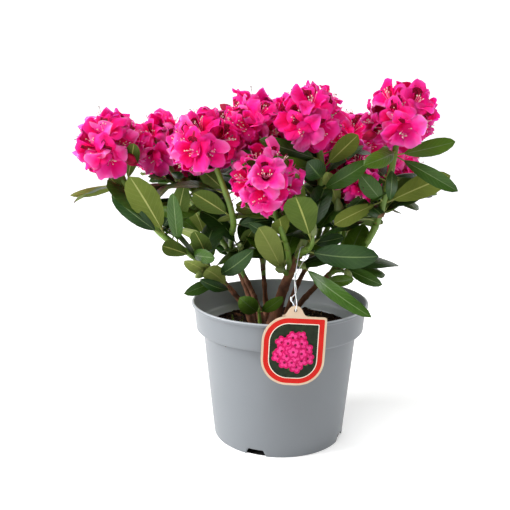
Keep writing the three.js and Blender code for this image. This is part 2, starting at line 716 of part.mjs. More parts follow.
/** The leaves of a mass that have room, each turned a little where that gives it room. */
function leafSolids(mass, path, wanted) {
  const leaves = [];
  const blades = [];
  for (const leaf of wanted) {
    const root = path.getPointAt(leaf.up);
    for (const swing of LEAF_TURNS) {
      const turned = { ...leaf, azimuth: leaf.azimuth + swing };
      const solid = leafSolid(root, turned);
      const blade = bladeOf(solid, root, turned);
      const crossed = blades.some((other) => blade.minGap(other, 2 * CLEAR) < CLEAR);
      if (crossed || touches(mass.name, solid)) continue;
      leaves.push(solid);
      blades.push(blade);
      break;
    }
  }
  return leaves;
}

/** Every mass. The flower heads take their places first, then the leaves fill what is left. */
function makeMasses(limbs) {
  const masses = [...FLOWERING, ...LEAFY].map((mass, index) => {
    const random = seeded(9 + index * 31);
    const { path, girth } = massStem(mass, limbs);
    const end = path.getPointAt(1);
    if (mass.head) {
      const crown = headSolid(mass.name, end, path.getTangentAt(1), mass.spread, random);
      reserve(mass.name, crown);
      return { mass, random, path, crown, radii: [Math.min(girth, SHOOT.flowering), SHOOT.underHead] };
    }
    const bud = new THREE.SphereGeometry(BUD.radius, 5, 3).scale(1, 1, BUD.half / BUD.radius);
    const crown = toSolid(bud.translate(...end.toArray()));
    return { mass, random, path, crown, radii: [Math.min(girth, SHOOT.leafy), SHOOT.underBud] };
  });
  for (const { mass, random, path, crown, radii } of masses) {
    const turn = 360 * random();
    const whorls = mass.head ? FLOWERING_WHORLS : LEAFY_WHORLS;
    const wanted = mass.bare ? mass.leaves : leavesOf(mass, whorls, turn, random);
    const stem = toSolid(bar(path, ...radii, { sides: 5, stations: evenly(3) }));
    const joined = wasm.Manifold.union([stem, crown, ...leafSolids(mass, path, wanted)]);
    const whole = cutBack(mass.name, joined);
    place(mass.name, largest(whole.simplify(0.05)), mass.head ? blossom : foliage);
  }
}

makePot();
makeCompost();
makeLabel();
const limbs = makeBoughs(makeStems());
makeString(limbs.get("bough_bud"));
makeMasses(limbs);

export default plant;
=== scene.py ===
"""A rhododendron in bloom in its grey nursery pot, with a card label hung on white string.

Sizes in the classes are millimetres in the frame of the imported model: +Z up, the front towards -Y and
the origin under the middle of the pot. Each mesh goes to Blender in metres.
"""

import sys

import logging
import math
from dataclasses import dataclass, field, fields
from enum import Enum, IntEnum
from typing import Callable, Iterable, Sequence

import bpy
import numpy as np
from mathutils import Matrix


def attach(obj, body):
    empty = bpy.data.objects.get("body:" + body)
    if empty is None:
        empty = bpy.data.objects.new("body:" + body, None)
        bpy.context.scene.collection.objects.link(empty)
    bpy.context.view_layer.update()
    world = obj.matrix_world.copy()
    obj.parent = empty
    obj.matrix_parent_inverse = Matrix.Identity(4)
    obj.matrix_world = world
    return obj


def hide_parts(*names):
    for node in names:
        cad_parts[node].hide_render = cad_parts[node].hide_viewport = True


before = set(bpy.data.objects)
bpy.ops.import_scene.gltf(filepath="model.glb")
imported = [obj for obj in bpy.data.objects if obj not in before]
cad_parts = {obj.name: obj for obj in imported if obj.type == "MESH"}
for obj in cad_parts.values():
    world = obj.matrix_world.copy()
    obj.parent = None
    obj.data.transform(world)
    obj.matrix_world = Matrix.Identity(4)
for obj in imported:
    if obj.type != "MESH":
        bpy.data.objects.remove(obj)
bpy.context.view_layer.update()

Array = np.ndarray
Colour = tuple[float, float, float]
LOG = logging.getLogger("plant")
MM = 0.001
UP = np.array([0.0, 0.0, 1.0])
# Directions that no limb and no bud runs along, from which the rings of tubes are turned.
ACROSS = np.array([1.0, 0.35, 0.1])
BESIDE = np.array([1.0, 0.3, 0.1])
WORD = 0xFFFFFFFF


# Arrays


def unit(vectors: Array) -> Array:
    """Vectors divided by their lengths along the last axis."""
    return vectors / np.maximum(np.linalg.norm(vectors, axis=-1, keepdims=True), 1e-12)


def lerp(low: float | Array, high: float | Array, share: float | Array) -> float | Array:
    """The value a share of the way from low to high."""
    return low + (high - low) * share


def smooth(low: float, high: float, values: Array) -> Array:
    """A smooth step from 0 at low to 1 at high: 3s^2 - 2s^3 of the clamped share s."""
    share = np.clip((values - low) / (high - low), 0.0, 1.0)
    return share * share * (3.0 - 2.0 * share)


def heading(azimuth: Array, lift: Array) -> Array:
    """Unit directions for azimuths and lifts in degrees."""
    a, b = np.radians(azimuth), np.radians(lift)
    return np.stack([np.cos(b) * np.cos(a), np.cos(b) * np.sin(a), np.sin(b)], -1)


def about(axis: Array, turn: float, polar: float) -> Array:
    """Turns away from an axis.

    Args:
        axis: A unit direction.
        turn: Turn about it, in radians.
        polar: Angle away from it, in degrees.

    Returns:
        The unit direction there.
    """
    side = unit(np.cross(axis, [0.0, 1.0, 0.0]))
    front = np.cross(side, axis)
    out = side * math.cos(turn) + front * math.sin(turn)
    return axis * math.cos(math.radians(polar)) + out * math.sin(math.radians(polar))


def rough(points: Array, wavelength: float, seed: int, waves: int = 10) -> Array:
    """Smooth random relief: the mean of sine waves that run in random directions.

    Args:
        points: Places, with the coordinates on the last axis.
        wavelength: Middle wavelength in millimetres.
        seed: Seed of the directions and phases.
        waves: How many waves are summed.

    Returns:
        Values of about -1 to 1, one for each place.
    """
    rng = np.random.default_rng(seed)
    steps = unit(rng.normal(size=(waves, 3))) * (math.tau / wavelength)
    steps = steps * rng.uniform(0.6, 1.8, (waves, 1))
    phase = rng.uniform(0, math.tau, waves)
    return np.sin(points @ steps.T + phase).sum(-1) * (1.6 / waves)


class SeededNumbers:
    """Numbers from 0 to 1 in the order of those that the solids grew by."""

    def __init__(self, seed: int) -> None:
        """Starts at a seed."""
        self.state = seed & WORD

    def draw(self) -> float:
        """Steps a 32-bit counter and mixes it by two multiplications.

        Returns:
            The next number.
        """
        self.state = (self.state + 0x6D2B79F5) & WORD
        t = ((self.state ^ (self.state >> 15)) * (self.state | 1)) & WORD
        t ^= (t + (((t ^ (t >> 7)) * (t | 61)) & WORD)) & WORD
        return (t ^ (t >> 14)) / (WORD + 1)

    def stray(self, most: float) -> float:
        """A number up to a most either way."""
        return 2.0 * most * (self.draw() - 0.5)


# Meshes


def quads_of(index: Array, wrap: bool) -> Array:
    """Quads over a grid of vertex numbers.

    Args:
        index: Vertex numbers, rows by columns.
        wrap: Whether the last column joins the first.

    Returns:
        The quads, four vertex numbers each, turned so that they face along columns x rows.
    """
    right = np.roll(index, -1, axis=1) if wrap else index[:, 1:]
    left = index if wrap else index[:, :-1]
    return np.stack([left[:-1], right[:-1], right[1:], left[1:]], -1).reshape(-1, 4)


def spin(radius: Array, height: Array, angle: Array) -> Array:
    """Rings round the Z axis, rows by angles by 3: (r cos a, r sin a, h)."""
    return np.stack([radius * np.cos(angle), radius * np.sin(angle), height + 0 * angle], -1)


class Skin:
    """The arrays of one piece, gathered patch by patch and then handed to Blender."""

    def __init__(self) -> None:
        """Starts empty."""
        self.count = 0
        self.points: list[Array] = []
        self.faces: list[Array] = []
        self.slots: list[Array] = []
        self.spots: list[Array] = []
        self.tints: list[Array] = []
        self.rims: list[Array] = []

    def add(
        self, points: Array, faces: Array, slots: Array | int, spots: Array | float, tints: Array | float,
        rims: Array | bool = False,
    ) -> None:
        """Adds copies that share one face list.

        Args:
            points: Places, copies by vertices by 3.
            faces: Vertex numbers within a copy, four a face, the last -1 in a triangle.
            slots: Material slots that broadcast to copies by faces.
            spots: Surface coordinates that broadcast to copies by vertices by 2.
            tints: Numbers that a material may read, broadcast to copies by vertices.
            rims: Which vertices of a copy lie on a sharp rim.
        """
        copies, each = points.shape[:2]
        start = self.count + np.arange(copies)[:, None, None] * each
        self.points.append(points.reshape(-1, 3))
        self.faces.append(np.where(faces[None] >= 0, faces[None] + start, -1).reshape(-1, 4))
        self.slots.append(np.broadcast_to(slots, (copies, len(faces))).astype(np.int32).ravel())
        self.spots.append(np.broadcast_to(spots, (copies, each, 2)).reshape(-1, 2))
        self.tints.append(np.broadcast_to(tints, (copies, each)).ravel())
        self.rims.append(np.tile(np.broadcast_to(rims, (each,)), copies))
        self.count += copies * each

    def add_tubes(
        self, paths: Array, radii: Array, sides: int, reference: Array, slots: Array | int = 0,
        tints: Array | float = 0.0, relief: Callable[[Array], Array] | None = None,
    ) -> None:
        """Adds round tubes with closed ends: rings of the radius stand square to each path.

        Args:
            paths: Middle lines, copies by stations by 3.
            radii: Radii that broadcast to copies by stations.
            sides: Vertices in a ring.
            reference: A direction that no path runs along, for all or for each copy.
            slots: Material slots that broadcast to copies by stations - 1.
            tints: Numbers that broadcast to copies by stations.
            relief: Gives a growth of the radius for each place, in millimetres.
        """
        copies, stations = paths.shape[:2]
        tangent = unit(np.gradient(paths, axis=1))
        first = unit(np.cross(tangent, np.broadcast_to(reference, (copies, 3))[:, None]))
        second = np.cross(tangent, first)
        turn = np.arange(sides) * (math.tau / sides)
        out = first[:, :, None] * np.cos(turn)[:, None] + second[:, :, None] * np.sin(turn)[:, None]
        size = np.broadcast_to(radii, (copies, stations))[:, :, None, None]
        rings = paths[:, :, None] + out * size
        if relief is not None:
            rings = rings + out * relief(rings)[..., None]
        points = np.concatenate([rings.reshape(copies, -1, 3), paths[:, :1], paths[:, -1:]], 1)
        start, end = stations * sides, stations * sides + 1
        ring = np.arange(sides)
        after = np.roll(ring, -1)
        last = start - sides
        none = np.full(sides, -1)
        faces = np.concatenate([
            quads_of(np.arange(start).reshape(stations, sides), True),
            np.stack([after, ring, np.full(sides, start), none], -1),
            np.stack([ring + last, after + last, np.full(sides, end), none], -1),
        ])
        around = np.tile(ring / sides, stations)
        along = np.repeat(np.linspace(0, 1, stations), sides)
        spots = np.stack([np.append(around, [0, 0]), np.append(along, [0, 1])], -1)
        tint = np.broadcast_to(tints, (copies, stations))
        tint = np.concatenate([np.repeat(tint, sides, 1), tint[:, :1], tint[:, -1:]], 1)
        slot = np.broadcast_to(slots, (copies, stations - 1))
        slot = np.repeat(np.concatenate([slot, slot[:, :1], slot[:, -1:]], 1), sides, 1)
        self.add(points, faces, slot, spots, tint)

    def add_shells(
        self, middle: Array, above: Array | float, below: Array | float, slots: tuple[Array, Array],
        spots: Array, tints: Array,
    ) -> None:
        """Adds thin closed shells round middle surfaces, offset to both sides. The two sides meet at the rim.

        Args:
            middle: Middle surfaces, copies by rows by columns by 3.
            above: Offset along columns x rows, broadcast to copies by rows by columns.
            below: Offset the other way.
            slots: Material slots of the upper and the lower side, each copies by faces.
            spots: Surface coordinates, rows by columns by 2.
            tints: Numbers that broadcast to copies by rows by columns.
        """
        copies, rows, columns = middle.shape[:3]
        normal = unit(np.cross(np.gradient(middle, axis=2), np.gradient(middle, axis=1)))
        inner = np.zeros((rows, columns), bool)
        inner[1:-1, 1:-1] = True
        lifted = middle + normal * np.where(inner, above, 0.0)[..., None]
        sunk = (middle - normal * np.where(inner, below, 0.0)[..., None])[:, inner]
        top = np.arange(rows * columns).reshape(rows, columns)
        bottom = top.copy()
        bottom[inner] = rows * columns + np.arange(inner.sum())
        tint = np.broadcast_to(tints, (copies, rows, columns))
        self.add(
            np.concatenate([lifted.reshape(copies, -1, 3), sunk], 1),
            np.concatenate([quads_of(top, False), quads_of(bottom, False)[:, [0, 3, 2, 1]]]),
            np.concatenate(slots, 1),
            np.concatenate([spots.reshape(-1, 2), spots[inner]]),
            np.concatenate([tint.reshape(copies, -1), tint[:, inner]], 1),
            np.append(~inner.ravel(), np.zeros(inner.sum(), bool)),
        )

    def add_turned(self, rings: Array, slots: Array | int = 0) -> None:
        """Adds one closed surface from rings that run from a lower pole to an upper one.

        Args:
            rings: Rows by columns by 3. The first and the last row are one repeated place each.
            slots: Material slots that broadcast to rows - 1.
        """
        rows, columns = rings.shape[:2]
        index = np.arange(rows * columns).reshape(rows, columns)
        index[0] = index[0, 0]
        index[-1] = index[-1, 0]
        faces = quads_of(index, True)
        faces[:columns, 1:3] = faces[:columns, 2:]
        faces[:columns, 3] = faces[-columns:, 3] = -1
        used = np.zeros(rows * columns, bool)
        used[faces[faces >= 0]] = True
        faces = np.where(faces >= 0, (np.cumsum(used) - 1)[faces], -1)
        slot = np.repeat(np.broadcast_to(slots, (rows - 1,)), columns)
        spots = np.stack(np.meshgrid(np.arange(columns) / columns, np.linspace(0, 1, rows)), -1)
        self.add(rings.reshape(1, -1, 3)[:, used], faces, slot, spots.reshape(-1, 2)[used], 0.0)

    def build(self, name: str, finishes: Sequence["Mottled"], sharp: bool = False) -> bpy.types.Object:
        """Makes the object, its mesh in metres and its origin at the frame's.

        Args:
            name: Name of the piece.
            finishes: Finishes in the order of the slots.
            sharp: Whether faces are shaded flat.

        Returns:
            The new object.
        """
        faces = np.concatenate(self.faces)
        used = faces >= 0
        corners = faces[used].astype(np.int32)
        sizes = used.sum(1)
        mesh = bpy.data.meshes.new(name)
        mesh.vertices.add(self.count)
        mesh.vertices.foreach_set("co", (np.concatenate(self.points) * MM).astype(np.float32).ravel())
        mesh.loops.add(len(corners))
        mesh.loops.foreach_set("vertex_index", corners)
        mesh.polygons.add(len(faces))
        mesh.polygons.foreach_set("loop_start", (np.cumsum(sizes) - sizes).astype(np.int32))
        mesh.polygons.foreach_set("material_index", np.concatenate(self.slots))
        mesh.polygons.foreach_set("use_smooth", np.full(len(faces), not sharp))
        layer = mesh.uv_layers.new(name="UVMap")
        layer.data.foreach_set("uv", np.concatenate(self.spots)[corners].astype(np.float32).ravel())
        tint = mesh.attributes.new("tint", "FLOAT", "POINT")
        tint.data.foreach_set("value", np.concatenate(self.tints).astype(np.float32))
        for finish in finishes:
            mesh.materials.append(finish.material())
        mesh.update(calc_edges=True)
        rims = np.concatenate(self.rims)
        if rims.any():
            ends = np.empty(2 * len(mesh.edges), np.int32)
            mesh.edges.foreach_get("vertices", ends)
            sharp_edge = mesh.attributes.new("sharp_edge", "BOOLEAN", "EDGE")
            sharp_edge.data.foreach_set("value", rims[ends].reshape(-1, 2).all(1))
        mesh.validate()
        piece = bpy.data.objects.new(name, mesh)
        bpy.context.scene.collection.objects.link(piece)
        return piece


def settle(piece: bpy.types.Object, nodes: Iterable[str] = ()) -> None:
    """Ties a piece to the plant, hides the solids that it stands for, and reports it.

    Args:
        piece: The finished object.
        nodes: Names of the solids that it replaces.
    """
    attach(piece, "root")
    names = list(nodes)
    if names:
        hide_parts(*names)
    LOG.info("%s: %d faces, stands for %d solids", piece.name, len(piece.data.polygons), len(names))


# Finishes


class Sketch:
    """Adds nodes to a tree and joins their sockets."""

    def __init__(self, tree: bpy.types.NodeTree) -> None:
        """Works on a tree."""
        self.tree = tree

    def node(
        self, kind: str, inputs: dict[str | int, object] | None = None, **settings: object,
    ) -> bpy.types.Node:
        """Adds a node.

        Args:
            kind: Blender's name of its type.
            inputs: Values or sockets by the name or number of the input.
            settings: Values of the node's own properties.

        Returns:
            The node.
        """
        made = self.tree.nodes.new(kind)
        for key, value in settings.items():
            setattr(made, key, value)
        for key, value in (inputs or {}).items():
            self.put(made.inputs[key], value)
        return made

    def put(self, socket: bpy.types.NodeSocket, value: object) -> None:
        """Links a socket to an input, or sets the input's value.

        Args:
            socket: The input.
            value: A socket, a number, or a colour of three values.
        """
        if isinstance(value, bpy.types.NodeSocket):
            self.tree.links.new(value, socket)
        elif socket.type == "RGBA" and len(value) == 3:
            socket.default_value = (*value, 1.0)
        else:
            socket.default_value = value

    def math(self, operation: str, *values: object) -> bpy.types.NodeSocket:
        """The result of a math node on values or sockets."""
        return self.node("ShaderNodeMath", dict(enumerate(values)), operation=operation).outputs[0]

    def mix(self, share: object, low: object, high: object) -> bpy.types.NodeSocket:
        """A colour a share of the way from low to high."""
        return self.node("ShaderNodeMix", {0: share, 6: low, 7: high}, data_type="RGBA").outputs[2]

    def ramp(self, value: object, low: float, high: float, most: float = 1.0) -> bpy.types.NodeSocket:
        """A value carried over from low to high onto 0 to most, and held there beyond them."""
        return self.node("ShaderNodeMapRange", {"Value": value, 1: low, 2: high, 3: 0.0, 4: most}).outputs[0]

    def parts(self, vector: object) -> bpy.types.NodeOutputs:
        """The three parts of a vector."""
        return self.node("ShaderNodeSeparateXYZ", {0: vector}).outputs

    def tint(self) -> bpy.types.NodeSocket:
        """The number that each place of a surface carries."""
        return self.node("ShaderNodeAttribute", attribute_name="tint").outputs["Fac"]


SOCKETS = {float: "NodeSocketFloat", tuple: "NodeSocketColor"}
Wired = dict[str, bpy.types.NodeSocket]


def effect(
    name: str, inputs: dict[str, object], outputs: dict[str, type],
    wire: Callable[[Sketch, bpy.types.NodeOutputs], Wired],
) -> bpy.types.NodeTree:
    """Makes a shader node group once, and afterwards returns the one that is there.

    Args:
        name: The group's name.
        inputs: Default values by the input's name, a float or a colour.
        outputs: The type of value by the output's name, float or tuple.
        wire: Adds the nodes and returns the socket that feeds each output.

    Returns:
        The group's tree.
    """
    if name in bpy.data.node_groups:
        return bpy.data.node_groups[name]
    tree = bpy.data.node_groups.new(name, "ShaderNodeTree")
    for label, value in inputs.items():
        socket = tree.interface.new_socket(label, in_out="INPUT", socket_type=SOCKETS[type(value)])
        socket.default_value = (*value, 1.0) if isinstance(value, tuple) else value
    for label, kind in outputs.items():
        tree.interface.new_socket(label, in_out="OUTPUT", socket_type=SOCKETS[kind])
    sketch = Sketch(tree)
    given = sketch.node("NodeGroupInput").outputs
    found = wire(sketch, given)
    sketch.node("NodeGroupOutput", dict(found))
    return tree


def wire_mottle(sketch: Sketch, given: bpy.types.NodeOutputs) -> Wired:
    """Two colours in soft patches: noise on object coordinates, sharpened by the contrast about its middle.

    Args:
        sketch: Adds the nodes.
        given: The group's inputs.

    Returns:
        The colour and the patches' mask.
    """
    place = sketch.node("ShaderNodeTexCoord").outputs["Object"]
    noise = sketch.node("ShaderNodeTexNoise", {"Vector": place, "Scale": given["Scale"], "Detail": 4.0})
    centred = sketch.math("SUBTRACT", noise.outputs[0], 0.5)
    spread = sketch.math("MULTIPLY_ADD", centred, given["Contrast"], 0.5)
    mask = sketch.node("ShaderNodeClamp", {0: spread}).outputs[0]
    return {"Color": sketch.mix(mask, given["Dark"], given["Light"]), "Mask": mask}


def wire_grain(sketch: Sketch, given: bpy.types.NodeOutputs) -> Wired:
    """A fine relief: noise on object coordinates whose Z is divided by the stretch, which draws it out.

    Args:
        sketch: Adds the nodes.
        given: The group's inputs.

    Returns:
        The height.
    """
    parts = sketch.parts(sketch.node("ShaderNodeTexCoord").outputs["Object"])
    tall = sketch.math("DIVIDE", parts[2], given["Stretch"])
    drawn = sketch.node("ShaderNodeCombineXYZ", {0: parts[0], 1: parts[1], 2: tall}).outputs[0]
    noise = sketch.node("ShaderNodeTexNoise", {"Vector": drawn, "Scale": given["Scale"], "Detail": 5.0})
    return {"Height": noise.outputs[0]}


def wire_specks(sketch: Sketch, given: bpy.types.NodeOutputs) -> Wired:
    """Small round specks: 1 within the size of a cell's middle, in the share of cells that the density keeps.

    Args:
        sketch: Adds the nodes.
        given: The group's inputs.

    Returns:
        The specks' mask.
    """
    place = sketch.node("ShaderNodeTexCoord").outputs["Object"]
    cells = sketch.node("ShaderNodeTexVoronoi", {"Vector": place, "Scale": given["Scale"]})
    close = sketch.math("LESS_THAN", cells.outputs["Distance"], given["Size"])
    chance = sketch.node("ShaderNodeSeparateColor", {0: cells.outputs["Color"]}).outputs[0]
    kept = sketch.math("LESS_THAN", chance, given["Density"])
    return {"Mask": sketch.math("MULTIPLY", close, kept)}


def wire_veins(sketch: Sketch, given: bpy.types.NodeOutputs) -> Wired:
    """A leaf's side veins: a sine along v that slants forward away from the midrib, raised to a power.

    The leaf's own map has u across from 0 to 1 and v from stalk to tip.

    Args:
        sketch: Adds the nodes.
        given: The group's inputs.

    Returns:
        The veins' mask.
    """
    parts = sketch.parts(sketch.node("ShaderNodeUVMap", uv_map="UVMap").outputs[0])
    side = sketch.math("ABSOLUTE", sketch.math("SUBTRACT", parts[0], 0.5))
    slant = sketch.math("MULTIPLY", side, given["Slant"])
    along = sketch.math("MULTIPLY", sketch.math("SUBTRACT", parts[1], slant), given["Pairs"])
    wave = sketch.math("COSINE", sketch.math("MULTIPLY", along, math.tau))
    lifted = sketch.math("MULTIPLY_ADD", wave, 0.5, 0.5)
    return {"Mask": sketch.math("POWER", lifted, given["Fineness"])}


EFFECTS = {
    "mottle": (
        {"Light": (1.0, 1.0, 1.0), "Dark": (0.0, 0.0, 0.0), "Scale": 40.0, "Contrast": 2.0},
        {"Color": tuple, "Mask": float}, wire_mottle,
    ),
    "grain": ({"Scale": 400.0, "Stretch": 1.0}, {"Height": float}, wire_grain),
    "specks": ({"Scale": 260.0, "Size": 0.22, "Density": 0.3}, {"Mask": float}, wire_specks),
    "veins": ({"Pairs": 11.0, "Slant": 0.42, "Fineness": 9.0}, {"Mask": float}, wire_veins),
}


def apply(sketch: Sketch, name: str, **inputs: object) -> bpy.types.NodeOutputs:
    """The outputs of one of the effects, with some inputs set by name."""
    return sketch.node("ShaderNodeGroup", inputs, node_tree=effect(name, *EFFECTS[name])).outputs


@dataclass(frozen=True)
class Finish:
    """A finish with its name, roughness and constants of the shader."""

    name: str
    roughness: float = 0.6
    specular: float = 0.5
    coat: float = 0.0
    subsurface: float = 0.0
    scatter: tuple[float, float, float] = (1.0, 0.2, 0.1)
    glow: float = 0.0

    def start(self) -> tuple[bpy.types.Material, Sketch, bpy.types.Node]:
        """Makes the material.

        Returns:
            The material, a sketch of its tree, and its shader with the constants set.
        """
        material = bpy.data.materials.new(self.name)
        material.use_nodes = True
        shader = material.node_tree.nodes["Principled BSDF"]
        constants = {
            "Roughness": self.roughness, "Specular IOR Level": self.specular, "Coat Weight": self.coat,
            "Coat Roughness": 0.2, "Subsurface Weight": self.subsurface, "Subsurface Radius": self.scatter,
            "Subsurface Scale": 0.002, "Emission Color": (1.0, 1.0, 1.0, 1.0), "Emission Strength": self.glow,
        }
        for label, value in constants.items():
            shader.inputs[label].default_value = value
        return material, Sketch(material.node_tree), shader


@dataclass(frozen=True)
class Mottled(Finish):
    """Two close colours in patches over a fine relief: the base of the finishes here."""

    light: Colour = (0.5, 0.5, 0.5)
    dark: Colour = (0.4, 0.4, 0.4)
    scale: float = 40.0
    contrast: float = 2.0
    grain: float = 600.0
    stretch: float = 1.0
    relief: float = 0.2
    depth: float = 0.0004

    def colour(self, sketch: Sketch) -> bpy.types.NodeSocket:
        """The colour of each place: the mottle group's."""
        return self.patches(sketch)["Color"]

    def patches(self, sketch: Sketch) -> bpy.types.NodeOutputs:
        """The mottle group's outputs with this finish's values."""
        looks = {"Light": self.light, "Dark": self.dark, "Scale": self.scale, "Contrast": self.contrast}
        return apply(sketch, "mottle", **looks)

    def height(self, sketch: Sketch) -> bpy.types.NodeSocket:
        """The height of each place: the grain group's."""
        return apply(sketch, "grain", Scale=self.grain, Stretch=self.stretch)["Height"]

    def material(self) -> bpy.types.Material:
        """Feeds the colour to the shader's base, and the height to its normal as a bump.

        Returns:
            The material.
        """
        material, sketch, shader = self.start()
        sketch.put(shader.inputs["Base Color"], self.colour(sketch))
        height = {"Height": self.height(sketch), "Strength": self.relief, "Distance": self.depth}
        sketch.put(shader.inputs["Normal"], sketch.node("ShaderNodeBump", height).outputs[0])
        return material


@dataclass(frozen=True)
class LeafFace(Mottled):
    """One side of a leaf: side veins, lighter or darker than the blade, and sunk or raised."""

    vein: Colour = (0.3, 0.35, 0.1)
    vein_share: float = 0.16
    rise: float = -0.7

    def colour(self, sketch: Sketch) -> bpy.types.NodeSocket:
        """Patches of green with the veins over them."""
        share = sketch.math("MULTIPLY", apply(sketch, "veins")["Mask"], self.vein_share)
        return sketch.mix(share, super().colour(sketch), self.vein)

    def height(self, sketch: Sketch) -> bpy.types.NodeSocket:
        """The grain with the veins on it."""
        return sketch.math("MULTIPLY_ADD", apply(sketch, "veins")["Mask"], self.rise, super().height(sketch))


@dataclass(frozen=True)
class PetalFace(Mottled):
    """A petal: it pales from throat to edge by the surface's tint, with fine lengthwise ribs."""

    throat: Colour = (0.62, 0.0, 0.05)
    edge: Colour = (0.92, 0.12, 0.42)
    ribs: float = 75.0
    rib_height: float = 0.35

    def colour(self, sketch: Sketch) -> bpy.types.NodeSocket:
        """Patches, mixed to the throat's colour at tints below 0.45 and to the edge's above 0.6.

        Args:
            sketch: Adds the nodes.

        Returns:
            The colour.
        """
        tint = sketch.tint()
        inner = sketch.mix(sketch.ramp(tint, 0.45, 0.1), super().colour(sketch), self.throat)
        return sketch.mix(sketch.ramp(tint, 0.6, 1.0, 0.75), inner, self.edge)

    def height(self, sketch: Sketch) -> bpy.types.NodeSocket:
        """The grain with a sine across the petal on it.

        Args:
            sketch: Adds the nodes.

        Returns:
            The height.
        """
        across = sketch.parts(sketch.node("ShaderNodeUVMap", uv_map="UVMap").outputs[0])[0]
        wave = sketch.math("SINE", sketch.math("MULTIPLY", across, self.ribs * math.tau))
        return sketch.math("MULTIPLY_ADD", wave, self.rib_height, super().height(sketch))


@dataclass(frozen=True)
class Shoot(Mottled):
    """Stem skin that runs from bark to green by the surface's tint, with small brown specks on the green."""

    green: Colour = (0.16, 0.26, 0.03)
    green_dark: Colour = (0.09, 0.17, 0.02)
    green_scale: float = 60.0
    speck: Colour = (0.16, 0.07, 0.03)

    def colour(self, sketch: Sketch) -> bpy.types.NodeSocket:
        """Bark patches below a tint of about 0.5, ragged by their own mask, and specked green above it.

        Args:
            sketch: Adds the nodes.

        Returns:
            The colour.
        """
        bark = self.patches(sketch)
        looks = {"Light": self.green, "Dark": self.green_dark, "Scale": self.green_scale}
        green = apply(sketch, "mottle", **looks)["Color"]
        young = sketch.mix(apply(sketch, "specks")["Mask"], green, self.speck)
        ragged = sketch.math("MULTIPLY_ADD", sketch.math("SUBTRACT", bark["Mask"], 0.5), 0.3, sketch.tint())
        return sketch.mix(sketch.ramp(ragged, 0.35, 0.65), bark["Color"], young)


POT_PLASTIC, POT_INSIDE_PAINTED_LIGHT, POT_LIP_PAINTED_HIGHLIGHT = (
    Mottled(f"pot_plastic_{name}", roughness, light=light, dark=dark, scale=9.0, contrast=1.6, grain=900.0,
            relief=0.12, depth=0.0003)
    for name, roughness, light, dark in (
        ("grey", 0.42, (0.176, 0.192, 0.208), (0.164, 0.179, 0.195)),
        # The inside: the same grey plastic painted lighter, painted light for the light that falls into the
        # pot.
        ("inside", 0.5, (0.3, 0.322, 0.346), (0.28, 0.3, 0.325)),
        # The lip: the same grey plastic painted lighter, a painted highlight along the top of the rim.
        ("lip", 0.4, (0.31, 0.33, 0.35), (0.28, 0.3, 0.32)),
    )
)
PEAT = Mottled("peat", 0.95, 0.08, light=(0.03, 0.015, 0.009), dark=(0.008, 0.004, 0.003), scale=160.0,
               contrast=3.0, grain=900.0, relief=0.9, depth=0.002)
CRUMBS = (
    Mottled("crumb_dark", 0.95, 0.08, light=(0.022, 0.011, 0.007), dark=(0.008, 0.004, 0.003), scale=300.0),
    Mottled("crumb_bark", 0.85, 0.2, light=(0.1, 0.04, 0.018), dark=(0.04, 0.016, 0.008), scale=300.0),
    Mottled("crumb_straw", 0.8, 0.2, light=(0.26, 0.16, 0.08), dark=(0.12, 0.07, 0.03), scale=300.0),
)
STEM_BARK = Shoot("stem_bark", 0.8, 0.3, light=(0.24, 0.1, 0.05), dark=(0.075, 0.03, 0.017), scale=90.0,
                  contrast=2.6, grain=420.0, stretch=5.0, relief=0.8, depth=0.0012)
GREEN_SHOOT = Shoot("green_shoot", 0.5, light=(0.14, 0.06, 0.03), dark=(0.06, 0.026, 0.014), scale=90.0,
                    contrast=2.4, grain=500.0, stretch=4.0, relief=0.35, depth=0.0006)
LEAF_TOPS = tuple(
    LeafFace(f"leaf_top_{name}", 0.34, 0.19, light=light, dark=dark, vein=vein, coat=0.04, scale=30.0,
             relief=0.35, depth=0.0006)
    for name, light, dark, vein in (
        ("deep", (0.024, 0.066, 0.01), (0.01, 0.034, 0.006), (0.06, 0.12, 0.03)),
        ("mid", (0.042, 0.1, 0.01), (0.021, 0.056, 0.006), (0.09, 0.17, 0.035)),
        ("bright", (0.085, 0.16, 0.012), (0.042, 0.1, 0.008), (0.14, 0.24, 0.04)),
    )
)
LEAF_BACKS = tuple(
    LeafFace(f"leaf_back_{name}", roughness, 0.12, light=light, dark=dark, vein=vein, rise=0.7, scale=28.0,
             relief=0.4, depth=0.0006)
    for name, roughness, light, dark, vein in (
        ("olive", 0.68, (0.16, 0.2, 0.032), (0.1, 0.14, 0.02), (0.21, 0.25, 0.06)),
        ("moss", 0.7, (0.1, 0.15, 0.026), (0.06, 0.1, 0.016), (0.15, 0.21, 0.05)),
        ("pale", 0.7, (0.25, 0.3, 0.075), (0.18, 0.23, 0.05), (0.31, 0.36, 0.1)),
    )
)
LEAF_STALK = Mottled("leaf_stalk", 0.5, light=(0.26, 0.3, 0.06), dark=(0.17, 0.2, 0.04), scale=80.0)
LEAF_FINISHES = (
    *LEAF_TOPS,
    *LEAF_BACKS,
    Mottled("leaf_rib_top", 0.5, light=(0.12, 0.19, 0.05), dark=(0.07, 0.13, 0.03), scale=60.0),
    Mottled("leaf_rib_back", 0.55, light=(0.36, 0.38, 0.09), dark=(0.27, 0.3, 0.07), scale=60.0),
    LEAF_STALK,
    Mottled("leaf_brown", 0.8, light=(0.2, 0.11, 0.05), dark=(0.1, 0.05, 0.025), scale=90.0, contrast=3.0),
)
